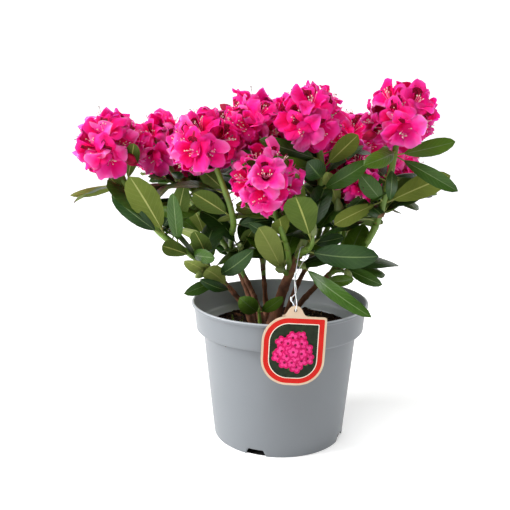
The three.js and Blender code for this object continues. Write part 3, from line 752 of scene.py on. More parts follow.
PETALS = tuple(
    PetalFace(f"petal_{name}", 0.68, 0.05, light=light, dark=dark, edge=edge, scale=scale, relief=0.4,
              depth=0.0006, contrast=3.2, subsurface=0.7, scatter=(1.0, 0.3, 0.8))
    for name, light, dark, edge, scale in (
        ("pink", (0.95, 0.005, 0.21), (0.88, 0.002, 0.14), (0.98, 0.05, 0.34), 90.0),
        ("light", (0.97, 0.035, 0.32), (0.93, 0.006, 0.2), (0.99, 0.17, 0.48), 80.0),
        ("deep", (0.9, 0.002, 0.14), (0.76, 0.001, 0.08), (0.95, 0.018, 0.24), 90.0),
    )
)
PETAL_FINISHES = (
    *PETALS,
    Mottled("petal_blotch", 0.7, 0.1, light=(0.34, 0.0, 0.03), dark=(0.07, 0.0, 0.008), scale=500.0,
            contrast=4.0),
    Mottled("flower_bud", 0.6, 0.12, light=(0.42, 0.002, 0.05), dark=(0.2, 0.001, 0.02), scale=130.0,
            contrast=2.6),
)
STAMEN_FINISHES = (
    Mottled("filament", 0.5, light=(0.93, 0.35, 0.55), dark=(0.85, 0.16, 0.38), scale=200.0),
    Mottled("anther", 0.6, light=(0.85, 0.72, 0.6), dark=(0.6, 0.42, 0.34), scale=300.0),
    Mottled("stigma", 0.5, light=(0.16, 0.01, 0.03), dark=(0.06, 0.005, 0.012), scale=300.0),
)
BRACT = Mottled("bract", 0.75, light=(0.38, 0.2, 0.12), dark=(0.17, 0.075, 0.04), scale=150.0, contrast=2.6)
BUD_SCALE = Mottled("bud_scale", 0.5, light=(0.22, 0.28, 0.08), dark=(0.13, 0.18, 0.05), scale=120.0)
BUFF_CARD = Mottled("buff_card", 0.75, light=(0.66, 0.5, 0.36), dark=(0.6, 0.45, 0.31), scale=120.0,
                    contrast=1.6, grain=1500.0, relief=0.15, depth=0.0002)
CORD_WHITE = Mottled("cord_white", 0.55, light=(0.84, 0.85, 0.86), dark=(0.7, 0.72, 0.74), scale=500.0,
                     grain=1500.0, relief=0.3, depth=0.0003, subsurface=0.1)
PRINTS = tuple(
    Mottled(f"print_{name}", 0.6, 0.15, light=light, dark=dark, scale=180.0, grain=1500.0, relief=0.08)
    for name, light, dark in (
        ("red", (0.6, 0.016, 0.01), (0.54, 0.012, 0.008)),
        ("line", (0.86, 0.8, 0.68), (0.8, 0.73, 0.6)),
        ("shade", (0.02, 0.035, 0.015), (0.008, 0.014, 0.008)),
        ("leaf", (0.07, 0.16, 0.035), (0.03, 0.08, 0.02)),
        ("petal", (0.66, 0.008, 0.14), (0.5, 0.003, 0.09)),
        ("petal_light", (0.86, 0.07, 0.3), (0.74, 0.02, 0.2)),
        ("eye", (0.3, 0.006, 0.05), (0.16, 0.003, 0.03)),
    )
)
FLOORS = tuple(
    Mottled(name, 0.7, glow=glow, light=(0.86, 0.86, 0.86), dark=(0.84, 0.84, 0.84), scale=2.0, relief=0.0)
    for name, glow in (("floor_white", 0.33), ("wall_white", 0.6))
)
SHADE = Mottled("shade", 0.9, 0.0, light=(0.03, 0.03, 0.03), dark=(0.02, 0.02, 0.02))


# How the plant grows


@dataclass(frozen=True)
class Course:
    """A limb's middle line: a quadratic curve that leaves start along a lead and ends at end."""

    start: Array
    control: Array
    end: Array

    @classmethod
    def leaving(cls, start: Array, lead: Array, end: Array, ease: float = 0.42) -> "Course":
        """The curve whose control point lies along the lead, at a share of the distance to the end."""
        return cls(start, start + lead * ease * np.linalg.norm(end - start), end)

    def points(self, t: Array) -> Array:
        """Places by the curve's own parameter t: (1-t)^2 start + 2t(1-t) control + t^2 end."""
        t = np.asarray(t, float)[..., None]
        return (1 - t) ** 2 * self.start + 2 * t * (1 - t) * self.control + t * t * self.end

    def parameter(self, shares: Array) -> Array:
        """The curve's own parameter, read off two hundred chords.

        Args:
            shares: Shares of the curve's length.

        Returns:
            The parameters, in the shape of the shares.
        """
        t = np.linspace(0, 1, 201)
        chords = np.linalg.norm(np.diff(self.points(t), axis=0), axis=1)
        run = np.concatenate([[0.0], np.cumsum(chords)])
        return np.interp(np.asarray(shares, float) * run[-1], run, t)

    def at(self, shares: Array) -> Array:
        """Places at shares of the length."""
        return self.points(self.parameter(shares))

    def lead(self, shares: Array) -> Array:
        """Unit tangents at shares of the length."""
        t = self.parameter(shares)[..., None]
        return unit((1 - t) * (self.control - self.start) + t * (self.end - self.control))


@dataclass(frozen=True)
class Limb:
    """A stem or bough: its course, and its radii at both ends."""

    course: Course
    girth: tuple[float, float]


@dataclass(frozen=True)
class Leaf:
    """Where a leaf stands: its share of the way up, its azimuth and lift in degrees, its length, and the tilt
    that turns its face to its right, seen along it."""

    up: float
    azimuth: float
    lift: float
    length: float
    tilt: float = 0.0


class Side(Enum):
    """Which face of a leaf is turned to the front."""

    UPPER = "upper"
    UNDER = "under"


@dataclass(frozen=True)
class Accent:
    """A leaf read off the photograph: its limb, the share up it, heading, length, width, side and green."""

    limb: str
    up: float
    azimuth: float
    lift: float
    length: float
    width: float
    side: Side
    tone: int

    def leaf(self) -> Leaf:
        """The leaf, tilted so that the side named faces the front.

        Returns:
            The leaf.
        """
        along = heading(np.float64(self.azimuth), np.float64(self.lift))
        want = unit(np.cross(along, [0.0, 1.0, 0.0])) * (1 if self.side is Side.UNDER else -1)
        flat = unit(np.cross(along, UP))
        face = np.cross(flat, along)
        tilt = math.degrees(math.atan2(-(want @ face), want @ flat))
        return Leaf(self.up, self.azimuth, self.lift, self.length, tilt)


# Where the left part of the crown ends in X, and where the rear part begins in Y.
CROWN_MIDDLE = -20
REAR_FROM = 35


class Region(Enum):
    """A part of the crown."""

    LEFT = "left"
    RIGHT = "right"
    REAR = "rear"

    @classmethod
    def across(cls, place: Sequence[float]) -> "Region":
        """Whether a place is at the left or the right."""
        return cls.LEFT if place[0] < CROWN_MIDDLE else cls.RIGHT


class Kind(Enum):
    """What a mass ends in."""

    FLOWERING = "flowering"
    LEAFY = "leafy"
    BARE = "bare"
    SPROUT = "sprout"


@dataclass
class Mass:
    """One mass: the limb it grows on from and where, where its stem ends, and how wide its head is."""

    name: str
    limb: str
    end: tuple[float, float, float]
    spread: float = 0.0
    at: float = 1.0
    listed: tuple[tuple[float, float, float, float], ...] = ()
    kind: Kind = Kind.LEAFY
    course: Course | None = None
    girth: float = 2.4
    leaves: list[Leaf] = field(default_factory=list)
    directions: list[Array] = field(default_factory=list)

    @property
    def region(self) -> Region:
        """The part of the crown that it stands in."""
        return Region.REAR if self.end[1] > REAR_FROM else Region.across(self.end)


# Name, foot, tip, and radii at both ends.
STEMS = (
    ("stem_main", (-9, -14), (21, -28, 248), (7.5, 5.4)),
    ("stem_left", (-23, -1), (-54, 18, 222), (4.9, 4)),
    ("stem_left_low", (-34, -14), (-98, -30, 236), (4.6, 3.8)),
    ("stem_centre", (-17, 13), (-24, 24, 236), (4.2, 3.5)),
    ("stem_right", (11, -2), (92, -2, 238), (4.7, 4.1)),
    ("stem_rear_right", (9, 19), (52, 62, 236), (4.4, 3.8)),
    ("stem_rear_left", (-33, 17), (-72, 72, 236), (4.4, 3.8)),
)
# Name, stem that it grows from, share up that stem, tip, and radius.
BOUGHS = (
    ("bough_top", "stem_main", 1.0, (47, -28, 332), 5.0),
    ("bough_front", "stem_main", 0.62, (4, -46, 270), 3.4),
    ("bough_bud", "stem_main", 0.9, (33, -54, 262), 4.2),
    ("bough_mid", "stem_main", 1.0, (68, -16, 270), 3.6),
    ("bough_left_front", "stem_left", 1.0, (-61, -30, 282), 3.9),
    ("bough_left_rear", "stem_left", 0.9, (-106, 36, 292), 3.7),
    ("bough_left_outer", "stem_left_low", 1.0, (-134, -31, 262), 4.2),
    ("bough_centre", "stem_centre", 1.0, (-32, 4, 328), 3.7),
    ("bough_back", "stem_centre", 0.8, (-18, 90, 312), 3.7),
    ("bough_right_outer", "stem_right", 1.0, (121, -18, 288), 4.5),
    ("bough_right_low", "stem_right", 0.7, (84, 18, 276), 3.4),
    ("bough_right_rear", "stem_rear_right", 1.0, (84, 76, 316), 3.7),
    ("bough_right_back", "stem_rear_right", 0.85, (128, 96, 282), 3.7),
    ("bough_back_right", "stem_rear_right", 0.7, (66, 128, 282), 3.7),
    ("bough_back_left", "stem_rear_left", 1.0, (-106, 108, 292), 3.8),
)
# Name, bough, the head's middle, its radius, and leaves by share up the stem, azimuth, lift and length.
HEADS = (
    ("mass_top", "bough_top", (31, -22, 419), 49, (
        (0.28, -138, 8, 104), (0.28, -69, 36, 66), (0.24, -40, 12, 78), (0.24, -100, 22, 62),
        (0.2, 172, 20, 84))),
    ("mass_right_outer", "bough_right_outer", (145, -20, 420), 47, (
        (0.1, -10, 33, 94), (0.06, 14, 22, 84), (0.1, -141, -10, 88), (0.14, 178, 58, 56),
        (0.6, -18, 24, 78), (0.58, -42, -30, 84), (0.56, -132, 0, 92), (0.6, -92, 16, 66))),
    ("mass_left_outer", "bough_left_outer", (-215, -12, 384), 45, (
        (0.14, -148, 52, 96), (0.12, -180, 46, 102), (0.06, -168, 36, 88), (0.1, -64, 66, 82),
        (0.62, -174, -14, 74), (0.6, -70, 34, 60))),
    ("mass_left_front", "bough_left_front", (-93, -56, 390), 44, (
        (0.12, -134, 40, 82), (0.1, -52, 18, 74), (0.5, -100, 2, 66))),
    ("mass_centre", "bough_centre", (-33, 0, 407), 42, ()),
    ("mass_front", "bough_front", (-23, -76, 347), 38, ((0.2, -160, 6, 72),)),
    ("mass_left_rear", "bough_left_rear", (-163, 52, 380), 42, ((0.12, -70, 60, 76),)),
    ("mass_right_rear", "bough_right_rear", (93, 80, 389), 42, ()),
    ("mass_right_low", "bough_right_low", (91, 8, 341), 34, ()),
    ("mass_right_back", "bough_right_back", (166, 116, 350), 42, ()),
    ("mass_back", "bough_back", (-8, 118, 392), 45, ()),
    ("mass_back_right", "bough_back_right", (76, 170, 344), 43, ()),
    ("mass_back_left", "bough_back_left", (-126, 140, 362), 44, ()),
)
# Name, limb, share up that limb, end of its own stem, and leaves as above.
TIPS = (
    ("mass_bud_front", "bough_bud", 1.0, (37, -66, 284), (
        (0.3, -109, 55, 84), (0.7, -140, 62, 80), (0.1, -33, -6, 98))),
    ("mass_mid_right", "bough_mid", 1.0, (74, -20, 300), ((0.2, -40, 32, 76),)),
    ("mass_main_low", "stem_main", 0.64, (0, -42, 232), ((0.5, -126, 52, 88),)),
    ("mass_low_right", "stem_right", 0.72, (84, -30, 226), ((0.6, -36, -14, 76), (0.6, 20, -4, 66))),
    ("mass_low_left", "stem_left_low", 0.8, (-100, -48, 228), (
        (0.5, -150, 34, 66), (0.5, -98, 46, 62), (0.2, -140, 2, 68))),
    ("mass_low_centre", "stem_left", 0.8, (-52, -30, 258), ()),
    ("mass_back_low", "stem_centre", 0.7, (-8, 66, 256), ()),
    ("mass_right_back_low", "stem_rear_right", 0.75, (104, 62, 246), ()),
    ("mass_left_back_low", "stem_rear_left", 0.75, (-112, 80, 246), ()),
    ("mass_bud_low", "stem_main", 0.88, (24, -40, 240), ((0.8, -42, -22, 114),)),
)
# Closed flower buds: head, azimuth, lift, and distance by the head's radius.
CLOSED = (
    ("mass_left_outer", -48, -17, 1.0), ("mass_left_outer", -40, -24, 0.9),
    ("mass_left_rear", -150, -12, 1.0), ("mass_centre", 160, 30, 1.05), ("mass_right_outer", -160, -26, 0.95),
    ("mass_back", 40, 20, 1.05), ("mass_back_left", 120, 10, 1.0),
)
ACCENTS = tuple(Accent(*row) for row in (
    ("mass_left_outer", 0.08, -133, 54, 104, 40, Side.UNDER, 0),
    ("mass_left_outer", 0.25, 172, 50, 84, 32, Side.UNDER, 1),
    ("mass_left_outer", 0.12, -165, 38, 84, 21, Side.UPPER, 0),
    ("mass_left_outer", 0.66, -178, -13, 72, 11, Side.UNDER, 2),
    ("mass_left_outer", 0.64, -71, 50, 76, 19, Side.UNDER, 1),
    ("mass_left_outer", 0.03, -48, 70, 86, 25, Side.UNDER, 1),
    ("mass_left_outer", 0.16, -4, 56, 66, 18, Side.UPPER, 0),
    ("bough_left_outer", 0.9, -84, 62, 84, 20, Side.UPPER, 1),
    ("mass_left_front", 0.2, -149, 31, 68, 27, Side.UNDER, 1),
    ("mass_left_front", 0.5, 135, 26, 54, 22, Side.UNDER, 1),
    ("mass_left_front", 0.08, -3, 12, 52, 15, Side.UPPER, 0),
    ("mass_left_rear", 0.55, -82, 13, 62, 18, Side.UPPER, 0),
    ("mass_front", 0.4, 166, 20, 56, 21, Side.UNDER, 1),
    ("bough_front", 0.97, -108, 44, 58, 24, Side.UNDER, 0),
    ("bough_front", 0.95, -159, 29, 56, 16, Side.UPPER, 0),
    ("mass_top", 0.3, -134, 4, 132, 26, Side.UPPER, 2),
    ("mass_top", 0.4, -146, 18, 94, 22, Side.UPPER, 1),
    ("mass_top", 0.16, -106, 17, 76, 25, Side.UPPER, 0),
    ("mass_top", 0.28, -44, 36, 76, 26, Side.UNDER, 0),
    ("bough_top", 0.99, -31, 28, 74, 22, Side.UPPER, 1),
    ("mass_mid_right", 0.96, -125, 62, 68, 20, Side.UNDER, 2),
    ("bough_top", 0.58, -117, 33, 120, 33, Side.UNDER, 0),
    ("mass_bud_front", 0.45, -110, 47, 92, 38, Side.UNDER, 1),
    ("mass_right_outer", 0.7, -126, -13, 74, 24, Side.UPPER, 2),
    ("mass_right_outer", 0.66, -6, 12, 78, 20, Side.UPPER, 2),
    ("mass_right_outer", 0.66, -20, -27, 92, 17, Side.UPPER, 1),
    ("mass_right_outer", 0.2, -3, 26, 92, 32, Side.UNDER, 0),
    ("mass_right_outer", 0.04, 21, 44, 76, 25, Side.UNDER, 1),
    ("mass_right_outer", 0.22, -143, 42, 58, 22, Side.UPPER, 1),
    ("mass_right_outer", 0.24, -145, -17, 92, 22, Side.UNDER, 0),
    ("mass_right_outer", 0.55, -105, -44, 52, 16, Side.UPPER, 0),
    ("mass_right_outer", 0.25, 53, 14, 86, 24, Side.UNDER, 2),
    ("mass_main_low", 0.03, -116, 45, 119, 31, Side.UNDER, 2),
    ("bough_bud", 0.7, -32, -1, 98, 34, Side.UPPER, 0),
    ("mass_bud_low", 0.97, -43, -25, 120, 21, Side.UPPER, 1),
    ("mass_foot_sprout", 0.8, -141, 36, 40, 24, Side.UPPER, 2),
    ("mass_foot_sprout", 0.8, -32, 36, 42, 15, Side.UPPER, 2),
    ("stem_right", 0.88, -40, -13, 64, 18, Side.UPPER, 1),
    ("stem_right", 0.62, -53, 11, 62, 16, Side.UPPER, 2),
    ("stem_left_low", 0.66, -139, 30, 78, 22, Side.UNDER, 2),
    ("stem_left_low", 0.58, -122, 37, 69, 23, Side.UNDER, 2),
    ("stem_left_low", 0.75, -134, -6, 62, 16, Side.UPPER, 1),
    ("stem_left_low", 0.55, -122, 19, 66, 16, Side.UPPER, 0),
    ("stem_left_low", 0.8, -47, 28, 78, 24, Side.UPPER, 0),
    ("stem_left_low", 0.88, -119, 61, 68, 22, Side.UNDER, 1),
    ("bough_left_outer", 0.4, -140, 21, 54, 21, Side.UNDER, 1),
    ("bough_left_outer", 0.5, -52, 6, 52, 19, Side.UPPER, 1),
    ("mass_low_centre", 0.2, -101, 38, 72, 19, Side.UNDER, 1),
    ("mass_low_centre", 0.62, -53, 52, 50, 18, Side.UNDER, 1),
    ("bough_mid", 0.4, -19, 12, 46, 15, Side.UPPER, 0),
    ("mass_mid_right", 0.9, -23, 43, 44, 15, Side.UPPER, 1),
    ("mass_right_low", 0.43, -8, 70, 48, 18, Side.UNDER, 2),
))
SPROUT = ("mass_foot_sprout", (-26, -42, 149), (-28, -46, 184))


@dataclass
class Growth:
    """Grows the limbs and masses by the rule and the seeds of the solids."""

    compost_top: float = 149.0
    clear: float = 0.35
    stem_ease: float = 0.36
    stem_lean: float = 0.004
    bough_share: float = 0.94
    bough_swell: float = 1.12
    golden_turn: float = 137.5
    apart: float = 40.0
    level: float = 0.25
    strays: tuple[float, float, float] = (0.035, 8, 11)
    lengths: tuple[float, float] = (0.86, 1.16)
    head_whorls: tuple[tuple[float, int, float, float], ...] = ((0.1, 5, 34, 88), (0.44, 6, 3, 84))
    tip_whorls: tuple[tuple[float, int, float, float], ...] = ((0.35, 4, 16, 82), (0.85, 4, 44, 80))
    floret_rings: tuple[tuple[float, int], ...] = ((0, 1), (58, 5), (102, 5))
    limbs: dict[str, Limb] = field(default_factory=dict)
    masses: list[Mass] = field(default_factory=list)

    def grow(self) -> None:
        """Grows stems, then boughs, then masses."""
        for name, foot, tip, girth in STEMS:
            start = np.array([*foot, self.compost_top + self.clear], float)
            lead = unit((np.array(tip, float) - start) * [self.stem_lean, self.stem_lean, 0] + UP)
            self.limbs[name] = Limb(Course.leaving(start, lead, np.array(tip, float), self.stem_ease), girth)
        for name, parent, at, tip, girth in BOUGHS:
            stem = self.limbs[parent]
            start = stem.course.at(at)
            first = min(lerp(*stem.girth, at) * self.bough_share, girth * self.bough_swell)
            course = Course.leaving(start, stem.course.lead(at), np.array(tip, float))
            self.limbs[name] = Limb(course, (first, girth))
        for name, limb, head, spread, listed in HEADS:
            self.masses.append(Mass(name, limb, head, spread, 1.0, listed, Kind.FLOWERING))
        for name, limb, at, tip, listed in TIPS:
            kind = Kind.BARE if name == "mass_bud_low" else Kind.LEAFY
            self.masses.append(Mass(name, limb, tip, 0.0, at, listed, kind))
        name, _, tip = SPROUT
        self.masses.append(Mass(name, "", tip, kind=Kind.SPROUT))
        for index, mass in enumerate(self.masses):
            self.grow_mass(mass, SeededNumbers(9 + index * 31))

    def grow_mass(self, mass: Mass, numbers: SeededNumbers) -> None:
        """Lays a mass's own stem, its florets' directions and its leaves, in the order of the solids' draws.

        Args:
            mass: The mass.
            numbers: Its own random numbers.
        """
        limb = self.limbs.get(mass.limb)
        if limb is None:
            start, lead = np.array(SPROUT[1], float), UP
        else:
            start, lead = limb.course.at(mass.at), limb.course.lead(mass.at)
            mass.girth = lerp(*limb.girth, mass.at) if mass.limb.startswith("stem") else limb.girth[1]
        mass.course = Course.leaving(start + lead * self.clear, lead, np.array(mass.end, float))
        if mass.kind is Kind.FLOWERING:
            mass.directions = self.floret_directions(mass.course.lead(1.0), numbers)
            for _ in mass.directions:
                numbers.draw()
        turn = 360 * numbers.draw()
        mass.leaves = [Leaf(*values) for values in mass.listed]
        if mass.kind in (Kind.SPROUT, Kind.BARE):
            return
        whorls = self.head_whorls if mass.kind is Kind.FLOWERING else self.tip_whorls
        for ring, (up, count, lift, length) in enumerate(whorls):
            for i in range(count):
                leaf = Leaf(
                    up + numbers.stray(self.strays[0]),
                    turn + ring * self.golden_turn + i * 360 / count + numbers.stray(self.strays[1]),
                    lift + numbers.stray(self.strays[2]),
                    length * lerp(*self.lengths, numbers.draw()),
                )
                if not self.crowded(leaf.azimuth, up, mass.listed):
                    mass.leaves.append(leaf)

    def crowded(self, azimuth: float, up: float, listed: Iterable[tuple[float, float, float, float]]) -> bool:
        """Whether a listed leaf stands close to an azimuth at about the same height.

        Args:
            azimuth: The azimuth in degrees.
            up: The share of the way up the stem.
            listed: The listed leaves.

        Returns:
            True where one does.
        """
        return any(
            abs((azimuth - other[1] + 900) % 360 - 180) < self.apart and abs(other[0] - up) < self.level
            for other in listed
        )

    def floret_directions(self, axis: Array, numbers: SeededNumbers) -> list[Array]:
        """Directions in rings about a head's axis, each a little off its even place.

        Args:
            axis: The head's axis.
            numbers: Draws how far off each is.

        Returns:
            The unit directions.
        """
        found = []
        for ring, (polar, count) in enumerate(self.floret_rings):
            for i in range(count):
                turn = (i + 0.5 * ring + 0.16 * numbers.draw()) / count * math.tau
                found.append(about(axis, turn, polar + numbers.stray(4)))
        return found


# The plant's pieces


@dataclass
class Wood:
    """Stems and boughs with their bark's relief."""

    growth: Growth
    stations: int = 56
    sides: int = 20
    flare: float = 0.5
    scar_every: float = 21.0
    scar_high: float = 0.55
    scar_half: float = 2.2
    tip: float = 0.02
    wander: float = 0.9
    green_from: tuple[float, float] = (0.0, 0.38)
    green_bough: tuple[float, float] = (0.42, 0.95)
    green_bud_bough: tuple[float, float] = (0.3, 1.0)
    furrow: float = 0.35
    lump: float = 0.3
    slim: float = 0.78
    sunk: float = 3.0
    stub_at: float = 0.86
    stub: tuple[float, float, float] = (9.0, -7.0, 14.0)
    stub_lead: tuple[float, float, float] = (0.4, -0.3, 1.0)
    stub_girth: tuple[float, float] = (3.4, 3.0)

    def add_limb(
        self, skin: Skin, course: Course, radii: tuple[float, float], young: tuple[float, float],
        flare: float, seed: int,
    ) -> None:
        """Adds one limb: a tapering tube with a flared foot, leaf-scar rings, furrows and a rounded tip.

        Args:
            skin: Where it goes.
            course: Its middle line.
            radii: Its radii at both ends.
            young: Its greenness at both ends, from 0, bark, to 1, green.
            flare: How much wider its foot is.
            seed: Seed of the relief.
        """
        t = np.linspace(0, 1, self.stations)
        path = course.at(t)
        length = np.linalg.norm(np.diff(path, axis=0), axis=1).sum()
        radius = lerp(*radii, t) + flare * (1 - t) ** 6
        rng = np.random.default_rng(seed)
        scars = np.arange(rng.uniform(6, 18), length, self.scar_every) + rng.uniform(-4, 4)
        near = np.abs(t[:, None] * length - scars[None]).min(1) if len(scars) else np.full_like(t, length)
        radius = radius + self.scar_high * np.exp(-((near / self.scar_half) ** 2))
        radius = radius * np.sqrt(np.clip(1 - ((t - 1) / self.tip + 1).clip(0) ** 2, 0.04, 1))
        wander = rough(path, 60, seed + 1)[:, None] * np.sin(math.pi * t)[:, None] * self.wander
        path = path + wander * unit(np.cross(course.lead(t), BESIDE))
        age = 1 - lerp(*young, t)

        def furrows(rings: Array) -> Array:
            """Relief that is fine across the limb and long along it, deeper on old wood."""
            fine, lumps = rough(rings * [1, 1, 0.22], 4.2, seed + 2, 14), rough(rings, 16, seed + 3)
            return (fine * self.furrow + lumps * self.lump) * lerp(0.35, 1.0, age)[None, :, None]

        skin.add_tubes(path[None], radius, self.sides, ACROSS, 0, lerp(*young, t), furrows)

    def add_stub(self, skin: Skin) -> None:
        """Adds the short cut stub that stands on the main stem.

        Args:
            skin: Where it goes.
        """
        root = self.growth.limbs["stem_main"].course.at(self.stub_at)
        course = Course.leaving(root, unit(np.array(self.stub_lead)), root + np.array(self.stub))
        self.add_limb(skin, course, self.stub_girth, (0.0, 0.0), 0, 63)

    def build(self) -> None:
        """Builds one piece of stems and one of boughs."""
        stems, boughs = Skin(), Skin()
        for seed, (name, _, _, (foot, tip)) in enumerate(STEMS):
            course = self.growth.limbs[name].course
            lower = Course(course.start - UP * self.sunk, course.control, course.end)
            slim = 1.0 if name == "stem_main" else self.slim
            radii = (slim * foot, slim * tip)
            self.add_limb(stems, lower, radii, self.green_from, self.flare * foot, 40 + seed)
        for seed, (name, *_) in enumerate(BOUGHS):
            limb = self.growth.limbs[name]
            young = self.green_bud_bough if name == "bough_bud" else self.green_bough
            self.add_limb(boughs, limb.course, limb.girth, young, 0.0, 70 + seed)
        self.add_stub(stems)
        settle(stems.build("stems_bark", [STEM_BARK]), [row[0] for row in STEMS])
        settle(boughs.build("boughs_green", [GREEN_SHOOT]), [row[0] for row in BOUGHS])


@dataclass
class Blades:
    """Leaf blades with their stalks, as thin closed shells.

    A leaf is a surface over t, from its root to its tip, and u, from edge to edge. Its middle line runs
    along the heading and is arched by 4t(1-t) and drooped by t^3. Across it the half width follows the
    outline, the sides rise from the midrib by |u| and roll down at the edge by u^2, and a wave runs
    along each edge. Pairs of numbers are ranges of what differs between leaves.
    """

    rows: tuple[float, ...] = (0, 0.09, 0.16, 0.22, 0.31, 0.43, 0.57, 0.71, 0.84, 0.94, 1)
    columns: tuple[float, ...] = (-1, -0.55, -0.05, 0.05, 0.55, 1)
    stalk: float = 0.15
    stalk_half: float = 0.95
    stalk_rows: int = 2
    thick: float = 0.28
    rib: float = 0.55
    arch: tuple[float, float] = (0.05, 0.11)
    droop: float = 0.12
    cup: tuple[float, float] = (0.05, 0.34)
    ripple: float = 0.03
    twist: float = 28.0
    drift: float = 0.06
    widths: tuple[float, float] = (0.9, 1.1)
    waves: tuple[float, float] = (1.2, 2.6)
    level: float = 45.0
    greens: tuple[float, ...] = (0.45, 0.35, 0.2)
    brown: float = 0.06
    tops: int = len(LEAF_TOPS)

    def outline(self, t: Array) -> Array:
        """Half width along the blade: x^0.75 (1-x)^0.6 / 0.3956 of the share x past the stalk."""
        x = np.clip((t - self.stalk) / (1 - self.stalk), 0, 1)
        return x**0.75 * (1 - x) ** 0.6 / 0.3956

    def add(
        self, skin: Skin, roots: Array, leaves: Sequence[Leaf], seed: int, slender: float | Array = 0.41,
        tones: Array | None = None, plain: int | None = None, sway: float = 13.0, curling: float = 1.0,
    ) -> None:
        """Adds leaves.

        Args:
            skin: Where they go.
            roots: Where each leaf leaves its stem.
            leaves: Their headings and lengths.
            seed: Seed of their shapes and tones.
            slender: Width by length, of all or of each.
            tones: Green of each leaf, from 0.
            plain: One slot for all faces, in place of the greens.
            sway: Spread of the random tilt in degrees.
            curling: How much the edges roll down, as a share of the usual.
        """
        count = len(leaves)
        rng = np.random.default_rng(seed)

        def vary(low: float, high: float) -> Array:
            """A random value for each leaf."""
            return rng.uniform(low, high, (count, 1, 1))

        lift = np.array([leaf.lift for leaf in leaves])
        size = np.array([leaf.length for leaf in leaves])[:, None, None]
        along = heading(np.array([leaf.azimuth for leaf in leaves]), lift)
        flat = unit(np.cross(along, UP))
        face = np.cross(flat, along)
        tilt = np.radians([leaf.tilt for leaf in leaves] + rng.normal(0, sway, count))[:, None]
        side = flat * np.cos(tilt) - face * np.sin(tilt)
        normal = face * np.cos(tilt) + flat * np.sin(tilt)
        t, u = np.array(self.rows)[None, :, None], np.array(self.columns)[None, None, :]
        blade = np.reshape(slender, (-1, 1, 1)) * vary(*self.widths) * size / 2
        shape = self.outline(t)
        half = np.maximum(blade * shape, np.minimum(self.stalk_half, 0.012 * size + 0.1))
        half = half * np.where(t >= 1, 0.55, 1.0)
        arch, droop = vary(*self.arch), vary(0.0, self.droop) * (np.abs(lift) < self.level)[:, None, None]
        rise = size * (arch * 4 * t * (1 - t) - droop * t**3)
        curl = curling * (0.1 + rng.gamma(1.6, 0.16, (count, 1, 1)).clip(0, 0.75))
        rise = rise + half * (vary(*self.cup) * np.abs(u) - curl * u * u) * (shape > 0.05)
        phase, waves = vary(0, 1), vary(*self.waves)
        wave = np.sin(math.tau * (waves * t + phase + 0.31 * np.sign(u)))
        rise = rise + size * vary(0.0, self.ripple) * wave * u * u * shape
        twist = np.radians(vary(-self.twist, self.twist)) * t
        sideways = u * half * np.cos(twist) * (1 - 0.3 * curl * u * u)
        sideways = sideways + size * vary(-self.drift, self.drift) * t * t
        rise = rise + u * half * np.sin(twist)
        middle = (
            roots[:, None, None]
            + along[:, None, None] * (t * size * (1 - 0.04 * t))[..., None]
            + side[:, None, None] * sideways[..., None]
            + normal[:, None, None] * rise[..., None]
        )
        body = np.where(t < self.stalk, self.stalk_half, self.thick)
        rib = np.where(np.abs(u) < 0.2, self.rib * (1 - t), 0.0)
        if tones is None:
            tones = rng.choice(self.tops, count, p=self.greens)
        slots = self.slots(tones, rng.random(count) < self.brown, plain)
        spots = np.stack(np.broadcast_arrays(u[0] / 2 + 0.5, t[0]), -1)
        skin.add_shells(middle, body, body + rib, slots, spots, t)

    def slots(self, tones: Array, browned: Array, plain: int | None) -> tuple[Array, Array]:
        """Deals out the finishes: greens for the blades, others for ribs and stalks, brown for some tips.

        Args:
            tones: Green of each leaf, from 0.
            browned: Which leaves have a brown tip.
            plain: One slot for all faces, in place of these.

        Returns:
            The slots of the upper and the lower side, leaves by faces.
        """
        count, rows, across = len(tones), len(self.rows) - 1, len(self.columns) - 1
        sides = []
        for lower in (0, 1):
            slot = np.broadcast_to(tones[:, None, None] + lower * self.tops, (count, rows, across)).copy()
            slot[:, :, across // 2] = 2 * self.tops + lower
            slot[:, : self.stalk_rows] = 2 * self.tops + 2
            slot[browned, -1:] = 2 * self.tops + 3
            if plain is not None:
                slot[:] = plain
            sides.append(slot.reshape(count, -1))
        return sides[0], sides[1]


